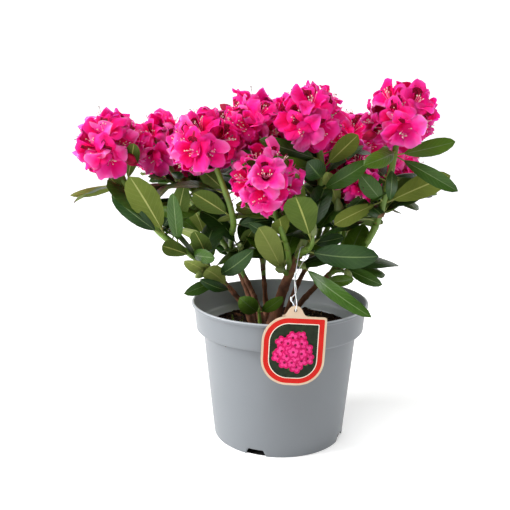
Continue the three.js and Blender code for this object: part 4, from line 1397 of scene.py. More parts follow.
@dataclass
class Foliage:
    """Every leaf, the stems of the masses and their end buds."""

    growth: Growth
    blades: Blades = field(default_factory=Blades)
    buds: dict[str, float] = field(default_factory=lambda: {"mass_foot_sprout": 0.35, "mass_mid_right": 1.5})
    bud_half: float = 4.3
    bud_long: float = 22.0
    bud_root: float = 6.0
    thickest: tuple[float, float] = (4.6, 3.2)
    thinnest: tuple[float, float] = (3.4, 2.0)
    rings: tuple[tuple[float, float], ...] = ((0.5, 0.12), (0.6, 0.46))
    ring_half: float = 0.03
    green_shares: tuple[float, float, float] = (3.0, 2.2, 1.2)
    accent_wide: float = 1.08
    accent_sway: float = 4.0
    accent_curl: float = 0.5
    front: tuple[float, float] = (-172.0, -8.0)
    cleared: tuple[str, ...] = (
        "mass_bud_front", "mass_bud_low", "mass_mid_right", "mass_main_low", "mass_low_right",
        "mass_low_left", "mass_low_centre", "mass_top", "mass_right_outer", "mass_left_outer",
        "mass_left_front", "mass_front",
    )

    def kept(self, mass: Mass) -> list[Leaf]:
        """A mass's leaves, without those at the front where the accents stand.

        Args:
            mass: The mass.

        Returns:
            Its leaves.
        """
        if mass.name not in self.cleared:
            return mass.leaves
        low, high = self.front
        return [leaf for leaf in mass.leaves if not low < (leaf.azimuth + 180) % 360 - 180 < high]

    def accents(self, skin: Skin, region: Region, seed: int) -> None:
        """Adds the accent leaves of a region's limbs.

        Args:
            skin: Where they go.
            region: The region.
            seed: Seed of their shapes.
        """
        courses = {name: limb.course for name, limb in self.growth.limbs.items()}
        courses.update({mass.name: mass.course for mass in self.growth.masses})
        rows = [accent for accent in ACCENTS if Region.across(courses[accent.limb].end) is region]
        roots = np.stack([courses[accent.limb].at(np.float64(accent.up)) for accent in rows])
        slender = np.array([accent.width / accent.length for accent in rows])
        tones = np.array([accent.tone for accent in rows])
        leaves = [accent.leaf() for accent in rows]
        self.blades.add(
            skin, roots, leaves, seed, self.accent_wide * slender, tones, sway=self.accent_sway,
            curling=self.accent_curl,
        )

    def shoots(self, region: Region) -> None:
        """Builds the stems of a region's masses, with pointed buds on those that end in leaves.

        Args:
            region: The region.
        """
        skin = Skin()
        masses = [m for m in self.growth.masses if m.region is region]
        t = np.linspace(0, 1, 22)
        paths = np.stack([m.course.at(t) for m in masses])
        first = np.array([min(m.girth, self.thickest[0 if m.spread else 1]) for m in masses])[:, None]
        last = np.array([self.thinnest[0 if m.spread else 1] for m in masses])[:, None]
        swell = sum(high * np.exp(-(((t - at) / self.ring_half) ** 2)) for high, at in self.rings)
        young = np.broadcast_to(lerp(0.9, 1.0, t), (len(masses), len(t)))
        skin.add_tubes(paths, lerp(first, last, t) + swell, 12, ACROSS, 0, young)
        leafy = [m for m in masses if not m.spread]
        tips = np.stack([m.course.end for m in leafy])
        leads = np.stack([m.course.lead(1.0) for m in leafy])
        s = np.linspace(0, 1, 9)
        size = np.array([self.buds.get(m.name, 1.0) for m in leafy])[:, None]
        bud = size * (self.bud_half * np.sin(math.pi * s**0.75) ** 0.8 + 0.25)
        run = (size * (self.bud_long * s - self.bud_root))[..., None]
        skin.add_tubes(tips[:, None] + leads[:, None] * run, bud, 10, BESIDE, 1)
        piece = skin.build(f"shoots_{region.value}", [GREEN_SHOOT, BUD_SCALE])
        settle(piece, [m.name for m in masses])

    def leaves(self, region: Region, seed: int) -> None:
        """Builds a region's leaves, of greens dealt out by mass and by leaf.

        Args:
            region: The region.
            seed: Seed of the greens and of the leaves' shapes.
        """
        skin = Skin()
        rng = np.random.default_rng(seed)
        masses = [m for m in self.growth.masses if m.region is region]
        for index, mass in enumerate(masses):
            leaves = self.kept(mass)
            share = rng.dirichlet(self.green_shares)
            if leaves:
                roots = mass.course.at(np.array([leaf.up for leaf in leaves]))
                tones = rng.choice(len(share), len(leaves), p=share)
                self.blades.add(skin, roots, leaves, seed * 100 + index, tones=tones)
        if region is not Region.REAR:
            self.accents(skin, region, seed * 100 + 90)
        settle(skin.build(f"leaves_{region.value}", LEAF_FINISHES), [m.name for m in masses])

    def build(self) -> None:
        """Builds the three regions."""
        for seed, region in enumerate(Region):
            self.shoots(region)
            self.leaves(region, 5 + seed)


@dataclass
class Placed:
    """Florets' places as arrays: head's middle, root, the way they face, their upper side, right and size."""

    centre: Array
    start: Array
    out: Array
    up: Array
    side: Array
    size: Array

    def repeated(self, times: int) -> "Placed":
        """The same with each floret repeated."""
        return Placed(*(np.repeat(getattr(self, part.name), times, 0) for part in fields(self)))


@dataclass
class Florets:
    """Florets of five ruffled lobes that overlap above a common funnel.

    A lobe runs over s, from the floret's root to the lobe's edge, and u, from side to side. Its middle
    stands off the axis by a(.07 + .93 s^1.35) and above the root by d(1 - (1-s)^1.9), less what it bends
    back. Low down it wraps round the axis by 37 degrees each way. From s = .3 to .6 that passes into a
    half width of a(.05 + .66 s^.9 - .22 s^3), one margin above the next lobe's and the other below. Rows
    shorten to the sides by |u|^2.1, which rounds the lobe's end, and waves run along its margins and
    across its end. A floret's root lies a share of the head's radius out from its middle, and further out
    towards the front. Pairs of numbers are ranges of what differs between florets or lobes.
    """

    rows: tuple[float, ...] = (0, 0.3, 0.52, 0.7, 0.87, 1)
    columns: tuple[float, ...] = (-1, -0.84, -0.6, -0.3, 0, 0.3, 0.6, 0.84, 1)
    lobes: int = 5
    petal: float = 25.6
    full: float = 45.0
    deep: float = 0.88
    root: float = 0.3
    ahead: float = 0.58
    thick: float = 0.2
    wrap: float = 37.0
    leaning: float = 0.35
    sizes: tuple[float, float] = (0.88, 1.14)
    reaches: tuple[float, float] = (0.88, 1.2)
    turned: float = 16.0
    widths: tuple[float, float] = (0.84, 1.12)
    lengths: tuple[float, float] = (0.88, 1.12)
    rounding: tuple[float, float] = (0.24, 0.42)
    twists: tuple[float, float] = (0.03, 0.1)
    bends: tuple[float, float] = (-0.15, 0.62)
    rolls: tuple[float, float] = (-0.2, 0.3)
    creases: tuple[float, float] = (0.0, 0.1)
    ruffles: tuple[float, float] = (0.07, 0.15)
    swings: tuple[float, float] = (-0.2, 0.2)
    floret_tones: tuple[float, ...] = (0.5, 0.27, 0.23)
    lobe_tones: tuple[float, ...] = (0.45, 0.35, 0.2)
    own_tone: float = 0.4
    blotch: tuple[float, float, float] = (0.5, 0.5, 0.26)
    flecks: int = 26
    fleck_half: tuple[float, float] = (0.008, 0.019)
    fleck_low: float = 0.12
    fleck_high: float = 0.5
    anthers: int = 7
    anther: tuple[float, ...] = (0.35, 0.8, 0.75, 0.3)
    anther_run: tuple[float, float] = (-0.3, 1.7)
    filament: float = 0.24
    pistil: float = 0.36
    filament_long: tuple[float, float] = (0.72, 1.08)
    pistil_long: tuple[float, float] = (1.1, 1.3)
    fan: float = 80.0
    stalk: tuple[float, float] = (1.0, 1.3)
    more: tuple[tuple[float, int, float], ...] = ((80, 4, 0.95), (125, 5, 0.95))

    def places(self, masses: Sequence[Mass], seed: int) -> Placed:
        """Places the solids' florets, and more between them.

        Args:
            masses: The flower heads.
            seed: Seed of sizes and turns.

        Returns:
            The places.
        """
        rng = np.random.default_rng(seed)
        rows = []
        for mass in masses:
            axis = mass.course.lead(1.0)
            lean = axis + np.array([0.0, self.leaning, 0.0])
            directions = [(direction, 1.0) for direction in mass.directions]
            for ring, (polar, most, share) in enumerate(self.more):
                count = min(most, math.ceil(most * (mass.spread / self.full) ** 2))
                for i in range(count):
                    turn = (i + 0.25 + 0.5 * ring + rng.uniform(-0.12, 0.12)) / count * math.tau
                    directions.append((about(axis, turn, polar + rng.uniform(-6, 6)), share))
            for direction, share in directions:
                size = self.petal * share * rng.uniform(*self.sizes)
                reach = mass.spread * share * rng.uniform(*self.reaches)
                up = unit(lean - direction * (lean @ direction))
                rows.append((*mass.course.end, *direction, *up, size, reach))
        table = np.array(rows)
        turn = np.radians(rng.normal(0, self.turned, len(table)))[:, None]
        centre, out, up = table[:, :3], table[:, 3:6], table[:, 6:9]
        side = np.cross(up, out)
        root = out * self.root
        root[:, 1] -= self.ahead * np.clip(-out[:, 1], 0, 1) ** 2
        up, side = up * np.cos(turn) + side * np.sin(turn), side * np.cos(turn) - up * np.sin(turn)
        return Placed(centre, centre + root * table[:, 10:], out, up, side, table[:, 9])

    def surface(self, at: Placed, rng: np.random.Generator) -> Callable[[Array, Array], Array]:
        """Draws the shapes of all lobes.

        Args:
            at: The florets' places.
            rng: Draws the lobes' shapes.

        Returns:
            A function that gives the places on each lobe from row and u, which broadcast to lobes by rows by
            columns.
        """
        every = at.repeated(self.lobes)
        total = len(every.size)
        angle = np.tile(np.arange(self.lobes), total // self.lobes) * math.tau / self.lobes
        angle = angle + rng.uniform(-0.09, 0.09, total)
        out, size, start = every.out[:, None, None], every.size[:, None, None], every.start[:, None, None]
        radial = every.up * np.cos(angle)[:, None] - every.side * np.sin(angle)[:, None]
        tangent = every.up * np.sin(angle)[:, None] + every.side * np.cos(angle)[:, None]

        def vary(low: float, high: float, each: int = 1) -> Array:
            """A random value for each lobe, or one for each few of them."""
            return np.repeat(rng.uniform(low, high, total // each), each)[:, None, None]

        wide = size * vary(*self.widths, self.lobes)
        short, long_, twist = vary(*self.rounding), vary(*self.lengths), vary(*self.twists, self.lobes)
        bend, roll, crease = vary(*self.bends), vary(*self.rolls), vary(*self.creases)
        phase, ruffle, swing = vary(0, 1), vary(*self.ruffles), vary(*self.swings)

        def place(row: Array, u: Array) -> Array:
            """Places by the class's formula.

            Args:
                row: Rows, from 0 to 1.
                u: Places from side to side, from -1 to 1.

            Returns:
                The places.
            """
            s = row * (1 - short * np.abs(u) ** 2.1) * long_
            radius = wide * (0.07 + 0.93 * s**1.35)
            high = size * self.deep * (1 - np.clip(1 - s, 0, 1) ** 1.9)
            high = high - 4 * size * bend * np.clip(s - 0.5, 0, 1) ** 2
            loose = smooth(0.3, 0.6, s)
            high = high + size * loose * (twist * u - roll * u * u + crease * np.abs(u))
            wave = np.sin(math.tau * (1.3 * s + phase + 0.3 * np.sign(u))) * np.abs(u) ** 1.5
            ends = np.sin(math.tau * (0.9 * u + 2 * phase)) * smooth(0.55, 1.0, row)
            high = high + size * ruffle * (wave + ends) * smooth(0.4, 0.75, s)
            turn = math.radians(self.wrap) * u
            half = wide * (0.05 + 0.66 * s**0.9 - 0.22 * s**3)
            off = lerp(radius * np.cos(turn), radius - 0.1 * half * u * u, loose)
            across = lerp(radius * np.sin(turn), half * u + swing * wide * s * s, loose)
            return (
                start + out * high[..., None] + radial[:, None, None] * off[..., None]
                + tangent[:, None, None] * across[..., None]
            )

        return place

    def petals(self, skin: Skin, at: Placed, seed: int) -> None:
        """Adds the lobes: pinks dealt out by floret and lobe, and a dark flecked blotch on each upper lobe.

        Args:
            skin: Where they go.
            at: The florets' places.
            seed: Seed of shapes and pinks.
        """
        rng = np.random.default_rng(seed)
        place = self.surface(at, rng)
        row, u = np.array(self.rows)[None, :, None], np.array(self.columns)[None, None, :]
        count, rows, columns = len(at.size), len(self.rows) - 1, len(self.columns) - 1
        floret_tone = np.repeat(rng.choice(len(PETALS), count, p=self.floret_tones), self.lobes)
        lobe_tone = rng.choice(len(PETALS), count * self.lobes, p=self.lobe_tones)
        own = rng.random(len(lobe_tone)) < self.own_tone
        tone = np.where(own, lobe_tone, floret_tone)[:, None, None]
        upper = (np.arange(len(lobe_tone)) % self.lobes == 0)[:, None, None]
        mid_row, mid_u = (row[:, 1:] + row[:, :-1]) / 2, (u[..., 1:] + u[..., :-1]) / 2
        wide, middle, long_ = self.blotch
        away = (mid_u / wide) ** 2 + ((mid_row - middle) / long_) ** 2
        ragged = rng.uniform(0.5, 1.5, (len(lobe_tone), rows, columns))
        inner = np.where(upper & (away < ragged), len(PETALS), tone)
        outer = np.broadcast_to(tone, inner.shape)
        spots = np.stack(np.broadcast_arrays(u[0] / 2 + 0.5, row[0]), -1)
        slots = (inner.reshape(len(inner), -1), outer.reshape(len(inner), -1))
        skin.add_shells(place(row, u), self.thick, self.thick, slots, spots, row)
        self.add_flecks(skin, place, len(lobe_tone), rng)

    def add_flecks(
        self, skin: Skin, place: Callable[[Array, Array], Array], total: int, rng: np.random.Generator,
    ) -> None:
        """Adds the dark flecks that run out from each blotch, as low four-sided pyramids on the lobe.

        Args:
            skin: Where they go.
            place: Gives the places on each lobe.
            total: How many lobes there are. Only each floret's first one, the upper, has flecks.
            rng: Draws the flecks.
        """
        row = rng.normal(0.6, 0.1, (total, self.flecks)).clip(0.36, 0.86)[..., None]
        u = (rng.normal(0, 0.3, (total, self.flecks)).clip(-0.7, 0.7))[..., None]
        half = rng.uniform(*self.fleck_half, (total, self.flecks, 1))
        corner = np.concatenate([place(row - 1.6 * half, u), place(row, u + 1.7 * half),
                                 place(row + 1.6 * half, u), place(row, u - 1.7 * half), place(row, u)], 2)
        corner = corner[:: self.lobes]
        normal = unit(np.cross(corner[:, :, 1] - corner[:, :, 3], corner[:, :, 2] - corner[:, :, 0]))
        high = np.array([self.fleck_low] * 4 + [self.fleck_high])[:, None]
        corner = corner + normal[:, :, None] * high
        faces = np.array([[0, 1, 4, -1], [1, 2, 4, -1], [2, 3, 4, -1], [3, 0, 4, -1], [3, 2, 1, 0]])
        skin.add(corner.reshape(-1, 5, 3), faces, len(PETALS), 0.0, 0.5)

    def stamens(self, skin: Skin, at: Placed, seed: int) -> None:
        """Adds stamens and a pistil to each floret: they lean to the lower lobes and turn up at their tips.

        Args:
            skin: Where they go.
            at: The florets' places.
            seed: Seed of their shapes.
        """
        rng = np.random.default_rng(seed)
        rep = at.repeated(self.anthers + 1)
        count = len(rep.size)
        pistil = np.arange(count) % (self.anthers + 1) == self.anthers
        far = pistil & (rng.random(count) < 0.3)
        fan = rng.uniform(-self.fan, self.fan, count) * np.where(pistil, 0.3, 1.0)
        fan = np.radians(180 + fan)[:, None]
        long_ = np.where(far, self.pistil_long[1], self.pistil_long[0])
        length = np.where(pistil, long_, rng.uniform(*self.filament_long, count))
        q = np.linspace(0, 1, 5)[None]
        size = rep.size[:, None]
        out = size * (0.1 + self.deep * length[:, None] * q)
        away = size * (0.04 + rng.uniform(0.1, 0.34, count)[:, None] * q**1.5)
        rise = size * rng.uniform(0.06, 0.26, count)[:, None] * q**3
        paths = (
            rep.start[:, None] + rep.out[:, None] * out[..., None]
            + rep.up[:, None] * (away * np.cos(fan) + rise)[..., None]
            + rep.side[:, None] * (away * np.sin(fan))[..., None]
        )
        across = rep.side + rep.up * 0.3
        thick = np.where(pistil, self.pistil, self.filament)[:, None]
        skin.add_tubes(paths, thick, 3, across, np.where(far, 2, 0)[:, None])
        lead = unit(paths[:, -1] - paths[:, -2])
        tip = paths[:, -1:] + lead[:, None] * np.linspace(*self.anther_run, len(self.anther))[:, None]
        skin.add_tubes(tip, np.array(self.anther), 4, across, np.where(pistil, 2, 1)[:, None])

    def stalks(self, skin: Skin, at: Placed) -> None:
        """Adds each floret's stalk, with its widened end.

        Args:
            skin: Where they go.
            at: The florets' places.
        """
        q = np.linspace(0, 1, 6)
        paths = lerp(at.centre[:, None], (at.start + at.out)[:, None], q[:, None])
        skin.add_tubes(paths, lerp(*self.stalk, q) + 0.8 * (q > 0.9), 6, at.side, 0)


@dataclass
class FlowerHeads:
    """All the flower heads."""

    growth: Growth
    florets: Florets = field(default_factory=Florets)
    blades: Blades = field(default_factory=Blades)
    scales: int = 8
    scale_at: tuple[float, float] = (0.72, 0.9)
    scale_lifts: tuple[float, float] = (-10.0, 60.0)
    scale_long: tuple[float, float] = (11.0, 20.0)
    bud_half: float = 7.0
    bud_long: float = 26.0

    def bracts(self, skin: Skin, masses: Sequence[Mass], seed: int) -> None:
        """Adds papery scales round the foot of each head.

        Args:
            skin: Where they go.
            masses: The flower heads.
            seed: Seed of their shapes.
        """
        rng = np.random.default_rng(seed)
        count = self.scales
        for index, mass in enumerate(masses):
            ups = rng.uniform(*self.scale_at, count)
            azimuths = np.arange(count) * 360 / count + rng.uniform(-15, 15, count)
            lifts, sizes = rng.uniform(*self.scale_lifts, count), rng.uniform(*self.scale_long, count)
            leaves = [Leaf(*values) for values in zip(ups, azimuths, lifts, sizes)]
            self.blades.add(skin, mass.course.at(ups), leaves, seed * 50 + index, slender=0.5, plain=1)

    def closed(self, skin: Skin, masses: Sequence[Mass]) -> None:
        """Adds closed flower buds: spindles that stand out of a head at the listed azimuths and lifts.

        Args:
            skin: Where they go.
            masses: The flower heads.
        """
        rows = [(m, *turn) for m in masses for name, *turn in CLOSED if name == m.name]
        if not rows:
            return
        out = np.stack([heading(np.float64(azimuth), np.float64(lift)) for _, azimuth, lift, _ in rows])
        centre = np.stack([m.course.end for m, *_ in rows])
        far = np.array([[m.spread * share] for m, _, _, share in rows])
        s = np.linspace(0, 1, 12)
        swell = self.bud_half * np.sin(math.pi * s**1.2) ** 0.75 * (1 - 0.3 * s) + 0.3
        path = centre[:, None] + out[:, None] * (far + self.bud_long * (s - 0.5))[..., None]
        skin.add_tubes(path, swell, 14, np.array([0.2, 0.3, 1.0]), len(PETALS) + 1, s[None])

    def build(self) -> None:
        """Builds petals, stamens and the small parts of each region."""
        for seed, region in enumerate(Region):
            masses = [m for m in self.growth.masses if m.region is region and m.spread]
            at = self.florets.places(masses, 11 + seed)
            petals, stamens, stalks = Skin(), Skin(), Skin()
            self.florets.petals(petals, at, 21 + seed)
            self.closed(petals, masses)
            self.florets.stamens(stamens, at, 31 + seed)
            self.florets.stalks(stalks, at)
            self.bracts(stalks, masses, 51 + seed)
            for skin, name, finishes in (
                (petals, "petals", PETAL_FINISHES), (stamens, "stamens", STAMEN_FINISHES),
                (stalks, "flower_stalks", (LEAF_STALK, BRACT)),
            ):
                piece = skin.build(f"{name}_{region.value}", finishes)
                settle(piece, [m.name for m in masses])


# The pot, the compost and the label


@dataclass
class Pot:
    """The turned pot: a smooth shell with a deep rim band, a rounded lip and notches in its foot ring.

    The profile lists radius and height, from the middle of the underside up the outside, over the lip and
    down the inside.
    """

    columns: int = 240
    notches: int = 4
    notch_turn: float = -111.0
    notch_half: float = 14.0
    notch_high: float = 8.0
    notch_slant: float = 4.0
    foot: float = 87.0
    wall: float = 2.0
    # Faces within this many profile steps of the lip's top take the painted highlight; those past it on the
    # inside take the inside's painted light.
    lip: int = 3
    profile: tuple[tuple[float, float], ...] = (
        (0, 0), (66, 0), (66.6, 0.6), (67, 9), (84.6, 9), (85, 0.5), (85.4, 0), (86.4, 0), (87, 0.7),
        (87.3, 3), (87.9, 9), (88, 10), (90.3, 33), (94, 70), (97.6, 106), (100.2, 132), (101.1, 141),
        (101.2, 143.2), (101.6, 144.8), (102.8, 145.6), (107.8, 146.2), (109.6, 146.8), (110.5, 148),
        (110.8, 150), (111.6, 160.5), (112.5, 170), (113, 176.6), (113.3, 177.7), (114, 178.4),
        (115.6, 178.7), (116.3, 179.4), (116.5, 180.5), (116.4, 181.6), (115.9, 182.5), (115.2, 182.9),
        (114.5, 183), (113.7, 182.7), (113.2, 182), (113, 180.8), (112, 176), (110.6, 168), (108.9, 153.5),
        (108.2, 151.7), (105.6, 149.5), (101.4, 146.5), (99.8, 145.4), (99.3, 143.8), (98.9, 140), (92, 76),
        (85.4, 12.5), (84.6, 11), (65.2, 11), (64.2, 2), (0, 2),
    )

    def middles(self) -> Array:
        """Angles of the notches' middles, in degrees."""
        return self.notch_turn + np.arange(self.notches) * 360 / self.notches

    def angles(self) -> Array:
        """Lists the columns' angles.

        Returns:
            Evenly spaced angles, with a few more at the slanting ends of each notch, in radians.
        """
        even = np.linspace(0, 360, self.columns, endpoint=False)
        edges = np.degrees(np.array([self.notch_half, self.notch_half - self.notch_slant]) / self.foot)
        edges = np.concatenate([edges, edges + 0.15])
        more = (self.middles()[:, None] + np.concatenate([edges, -edges])[None]).ravel() % 360
        return np.radians(np.unique(np.concatenate([even, more])))

    def build(self) -> None:
        """Turns the profile, and lifts what lies below a notch's outline up to it."""
        angle = self.angles()
        profile = np.array(self.profile)
        radius, height = profile[:, :1], profile[:, 1:] + 0 * angle
        off = angle[:, None] - np.radians(self.middles())[None]
        off = np.abs((off + math.pi) % math.tau - math.pi).min(1) * self.foot
        slant = [self.notch_half - self.notch_slant, self.notch_half]
        ceiling = np.interp(off, slant, [self.notch_high, 0.0])
        ring = (radius > self.foot - self.wall - 0.5) & (height < self.notch_high)
        ring[len(profile) // 2 :] = False
        height = np.where(ring, np.maximum(height, ceiling + 0.02 * height), height)
        # Slots: 0 the grey outside, 1 the inside in a lighter colour of painted light, 2 the top of the lip
        # in a painted highlight.
        past = np.arange(len(profile) - 1) - profile[:, 1].argmax()
        slots = np.where(past >= self.lip, 1, np.where(past >= -self.lip, 2, 0))
        skin = Skin()
        skin.add_turned(spin(radius, height, angle), slots)
        settle(skin.build("pot_shell", (POT_PLASTIC, POT_INSIDE_PAINTED_LIGHT, POT_LIP_PAINTED_HIGHLIGHT)), ["pot"])


@dataclass
class Compost:
    """The compost: a lumpy top, with crumbs, fibres and tiny seedlings on it.

    The top sinks a little to the wall, heaps up round the stems, and is lumpy. Crumbs, fibres and leaves
    get sizes between the numbers of a pair.
    """

    growth: Growth
    radius: float = 99.0
    level: float = 149.0
    under: tuple[tuple[float, float], ...] = ((0.0, 12.5), (84.3, 12.5), (97.6, 134.0), (98.8, 142.6))
    rings: int = 70
    columns: int = 220
    crumbs: int = 900
    crumb: tuple[float, float] = (0.6, 4.2)
    crumb_long: tuple[float, float] = (0.8, 1.9)
    crumb_kinds: tuple[float, float, float] = (0.7, 0.25, 0.05)
    fibres: int = 90
    fibre: tuple[float, float] = (3.0, 11.0)
    fibre_half: tuple[float, float] = (0.2, 0.5)
    tufts: tuple[tuple[float, float], ...] = (
        (-30, -34), (-44, -22), (-6, -36), (12, -30), (-22, -48), (26, -20), (-56, 8), (30, 24),
    )
    tuft: int = 7
    tuft_half: float = 7.0
    tuft_leaf: tuple[float, float] = (7.0, 15.0)

    def top(self, x: Array, y: Array) -> Array:
        """Gives the height of the top.

        Args:
            x: Places across.
            y: Places from front to rear.

        Returns:
            The heights.
        """
        far = np.hypot(x, y) / self.radius
        flat = np.stack([x, y, 0 * x], -1)
        lumps = 1.5 * rough(flat, 26, 5) + 0.8 * rough(flat, 9, 6, 14) + 0.45 * rough(flat, 4, 7, 16)
        heap = 5.0 * np.exp(-(((x + 14) / 34) ** 2 + (y / 30) ** 2))
        return self.level - 2.0 + lumps * (1 - 0.6 * far) + heap - 3.0 * far**5

    def strew(self, count: int, rng: np.random.Generator) -> Array:
        """Picks places on the top, spread evenly over the disc.

        Args:
            count: How many.
            rng: Draws them.

        Returns:
            The places.
        """
        far = (self.radius - 3) * np.sqrt(rng.random(count))
        angle = rng.uniform(0, math.tau, count)
        x, y = far * np.cos(angle), far * np.sin(angle)
        return np.stack([x, y, self.top(x, y)], -1)

    def build(self) -> None:
        """Builds the body and what lies on it."""
        angle = np.arange(self.columns) * math.tau / self.columns
        far = self.radius * np.linspace(1, 0, self.rings)[:, None] ** 0.8
        cap = spin(far, self.top(far * np.cos(angle), far * np.sin(angle)), angle)
        under = np.array(self.under)
        body = Skin()
        body.add_turned(np.concatenate([spin(under[:, :1], under[:, 1:], angle), cap]))
        settle(body.build("compost_body", [PEAT]), ["compost"])
        self.build_crumbs()
        self.build_seedlings()

    def build_crumbs(self) -> None:
        """Builds crumbs, as short thick chips, and fibres, as thin bent threads."""
        rng = np.random.default_rng(77)
        skin, flat, count = Skin(), np.array([0.1, 0.2, 1.0]), self.crumbs
        place = self.strew(count, rng)
        size = rng.gamma(2.2, 0.75, count).clip(*self.crumb)
        lead = heading(rng.uniform(0, 360, count), rng.uniform(-25, 40, count))
        q = np.array([-1.0, -0.45, 0.5, 1.0])[:, None]
        long_ = q * size[:, None, None] * rng.uniform(*self.crumb_long, (count, 1, 1))
        radii = size[:, None] * rng.uniform(0.3, 0.9, (count, 4)) * [0.55, 1, 0.9, 0.4]
        kind = rng.choice(len(CRUMBS), count, p=self.crumb_kinds)[:, None]
        skin.add_tubes(place[:, None] + lead[:, None] * long_, radii, 5, flat, kind)
        count = self.fibres
        place = self.strew(count, rng)
        q = np.linspace(-1, 1, 7)[:, None]
        lead = heading(rng.uniform(0, 360, count), rng.uniform(-8, 12, count))[:, None]
        bow = np.cross(lead, UP) * rng.uniform(-5, 5, (count, 1, 1)) * q**2
        paths = place[:, None] + lead * q * rng.uniform(*self.fibre, (count, 1, 1)) + bow + UP * 0.5
        kind = rng.choice((1, 2), count, p=(0.75, 0.25))[:, None]
        skin.add_tubes(paths, rng.uniform(*self.fibre_half, (count, 1)), 4, flat, kind)
        settle(skin.build("compost_crumbs", CRUMBS, sharp=True), ["compost"])

    def build_seedlings(self) -> None:
        """Builds tufts of tiny leaves round the stems' feet."""
        rng = np.random.default_rng(78)
        skin = Skin()
        roots, leaves = [], []
        for x, y in np.repeat(np.array(self.tufts), self.tuft, 0):
            a, b = np.array([x, y]) + rng.uniform(-self.tuft_half, self.tuft_half, 2)
            roots.append((a, b, float(self.top(np.array(a), np.array(b))) - 0.5))
            leaves.append(Leaf(0, rng.uniform(0, 360), rng.uniform(10, 75), rng.uniform(*self.tuft_leaf)))
        Blades().add(skin, np.array(roots), leaves, 79, slender=0.34, tones=np.full(len(leaves), 2))
        settle(skin.build("seedlings", LEAF_FINISHES))


class Ink(IntEnum):
    """The print's colours, in the order of PRINTS."""

    RED = 0
    LINE = 1
    SHADE = 2
    LEAF = 3
    PETAL = 4
    LIGHT = 5
    EYE = 6


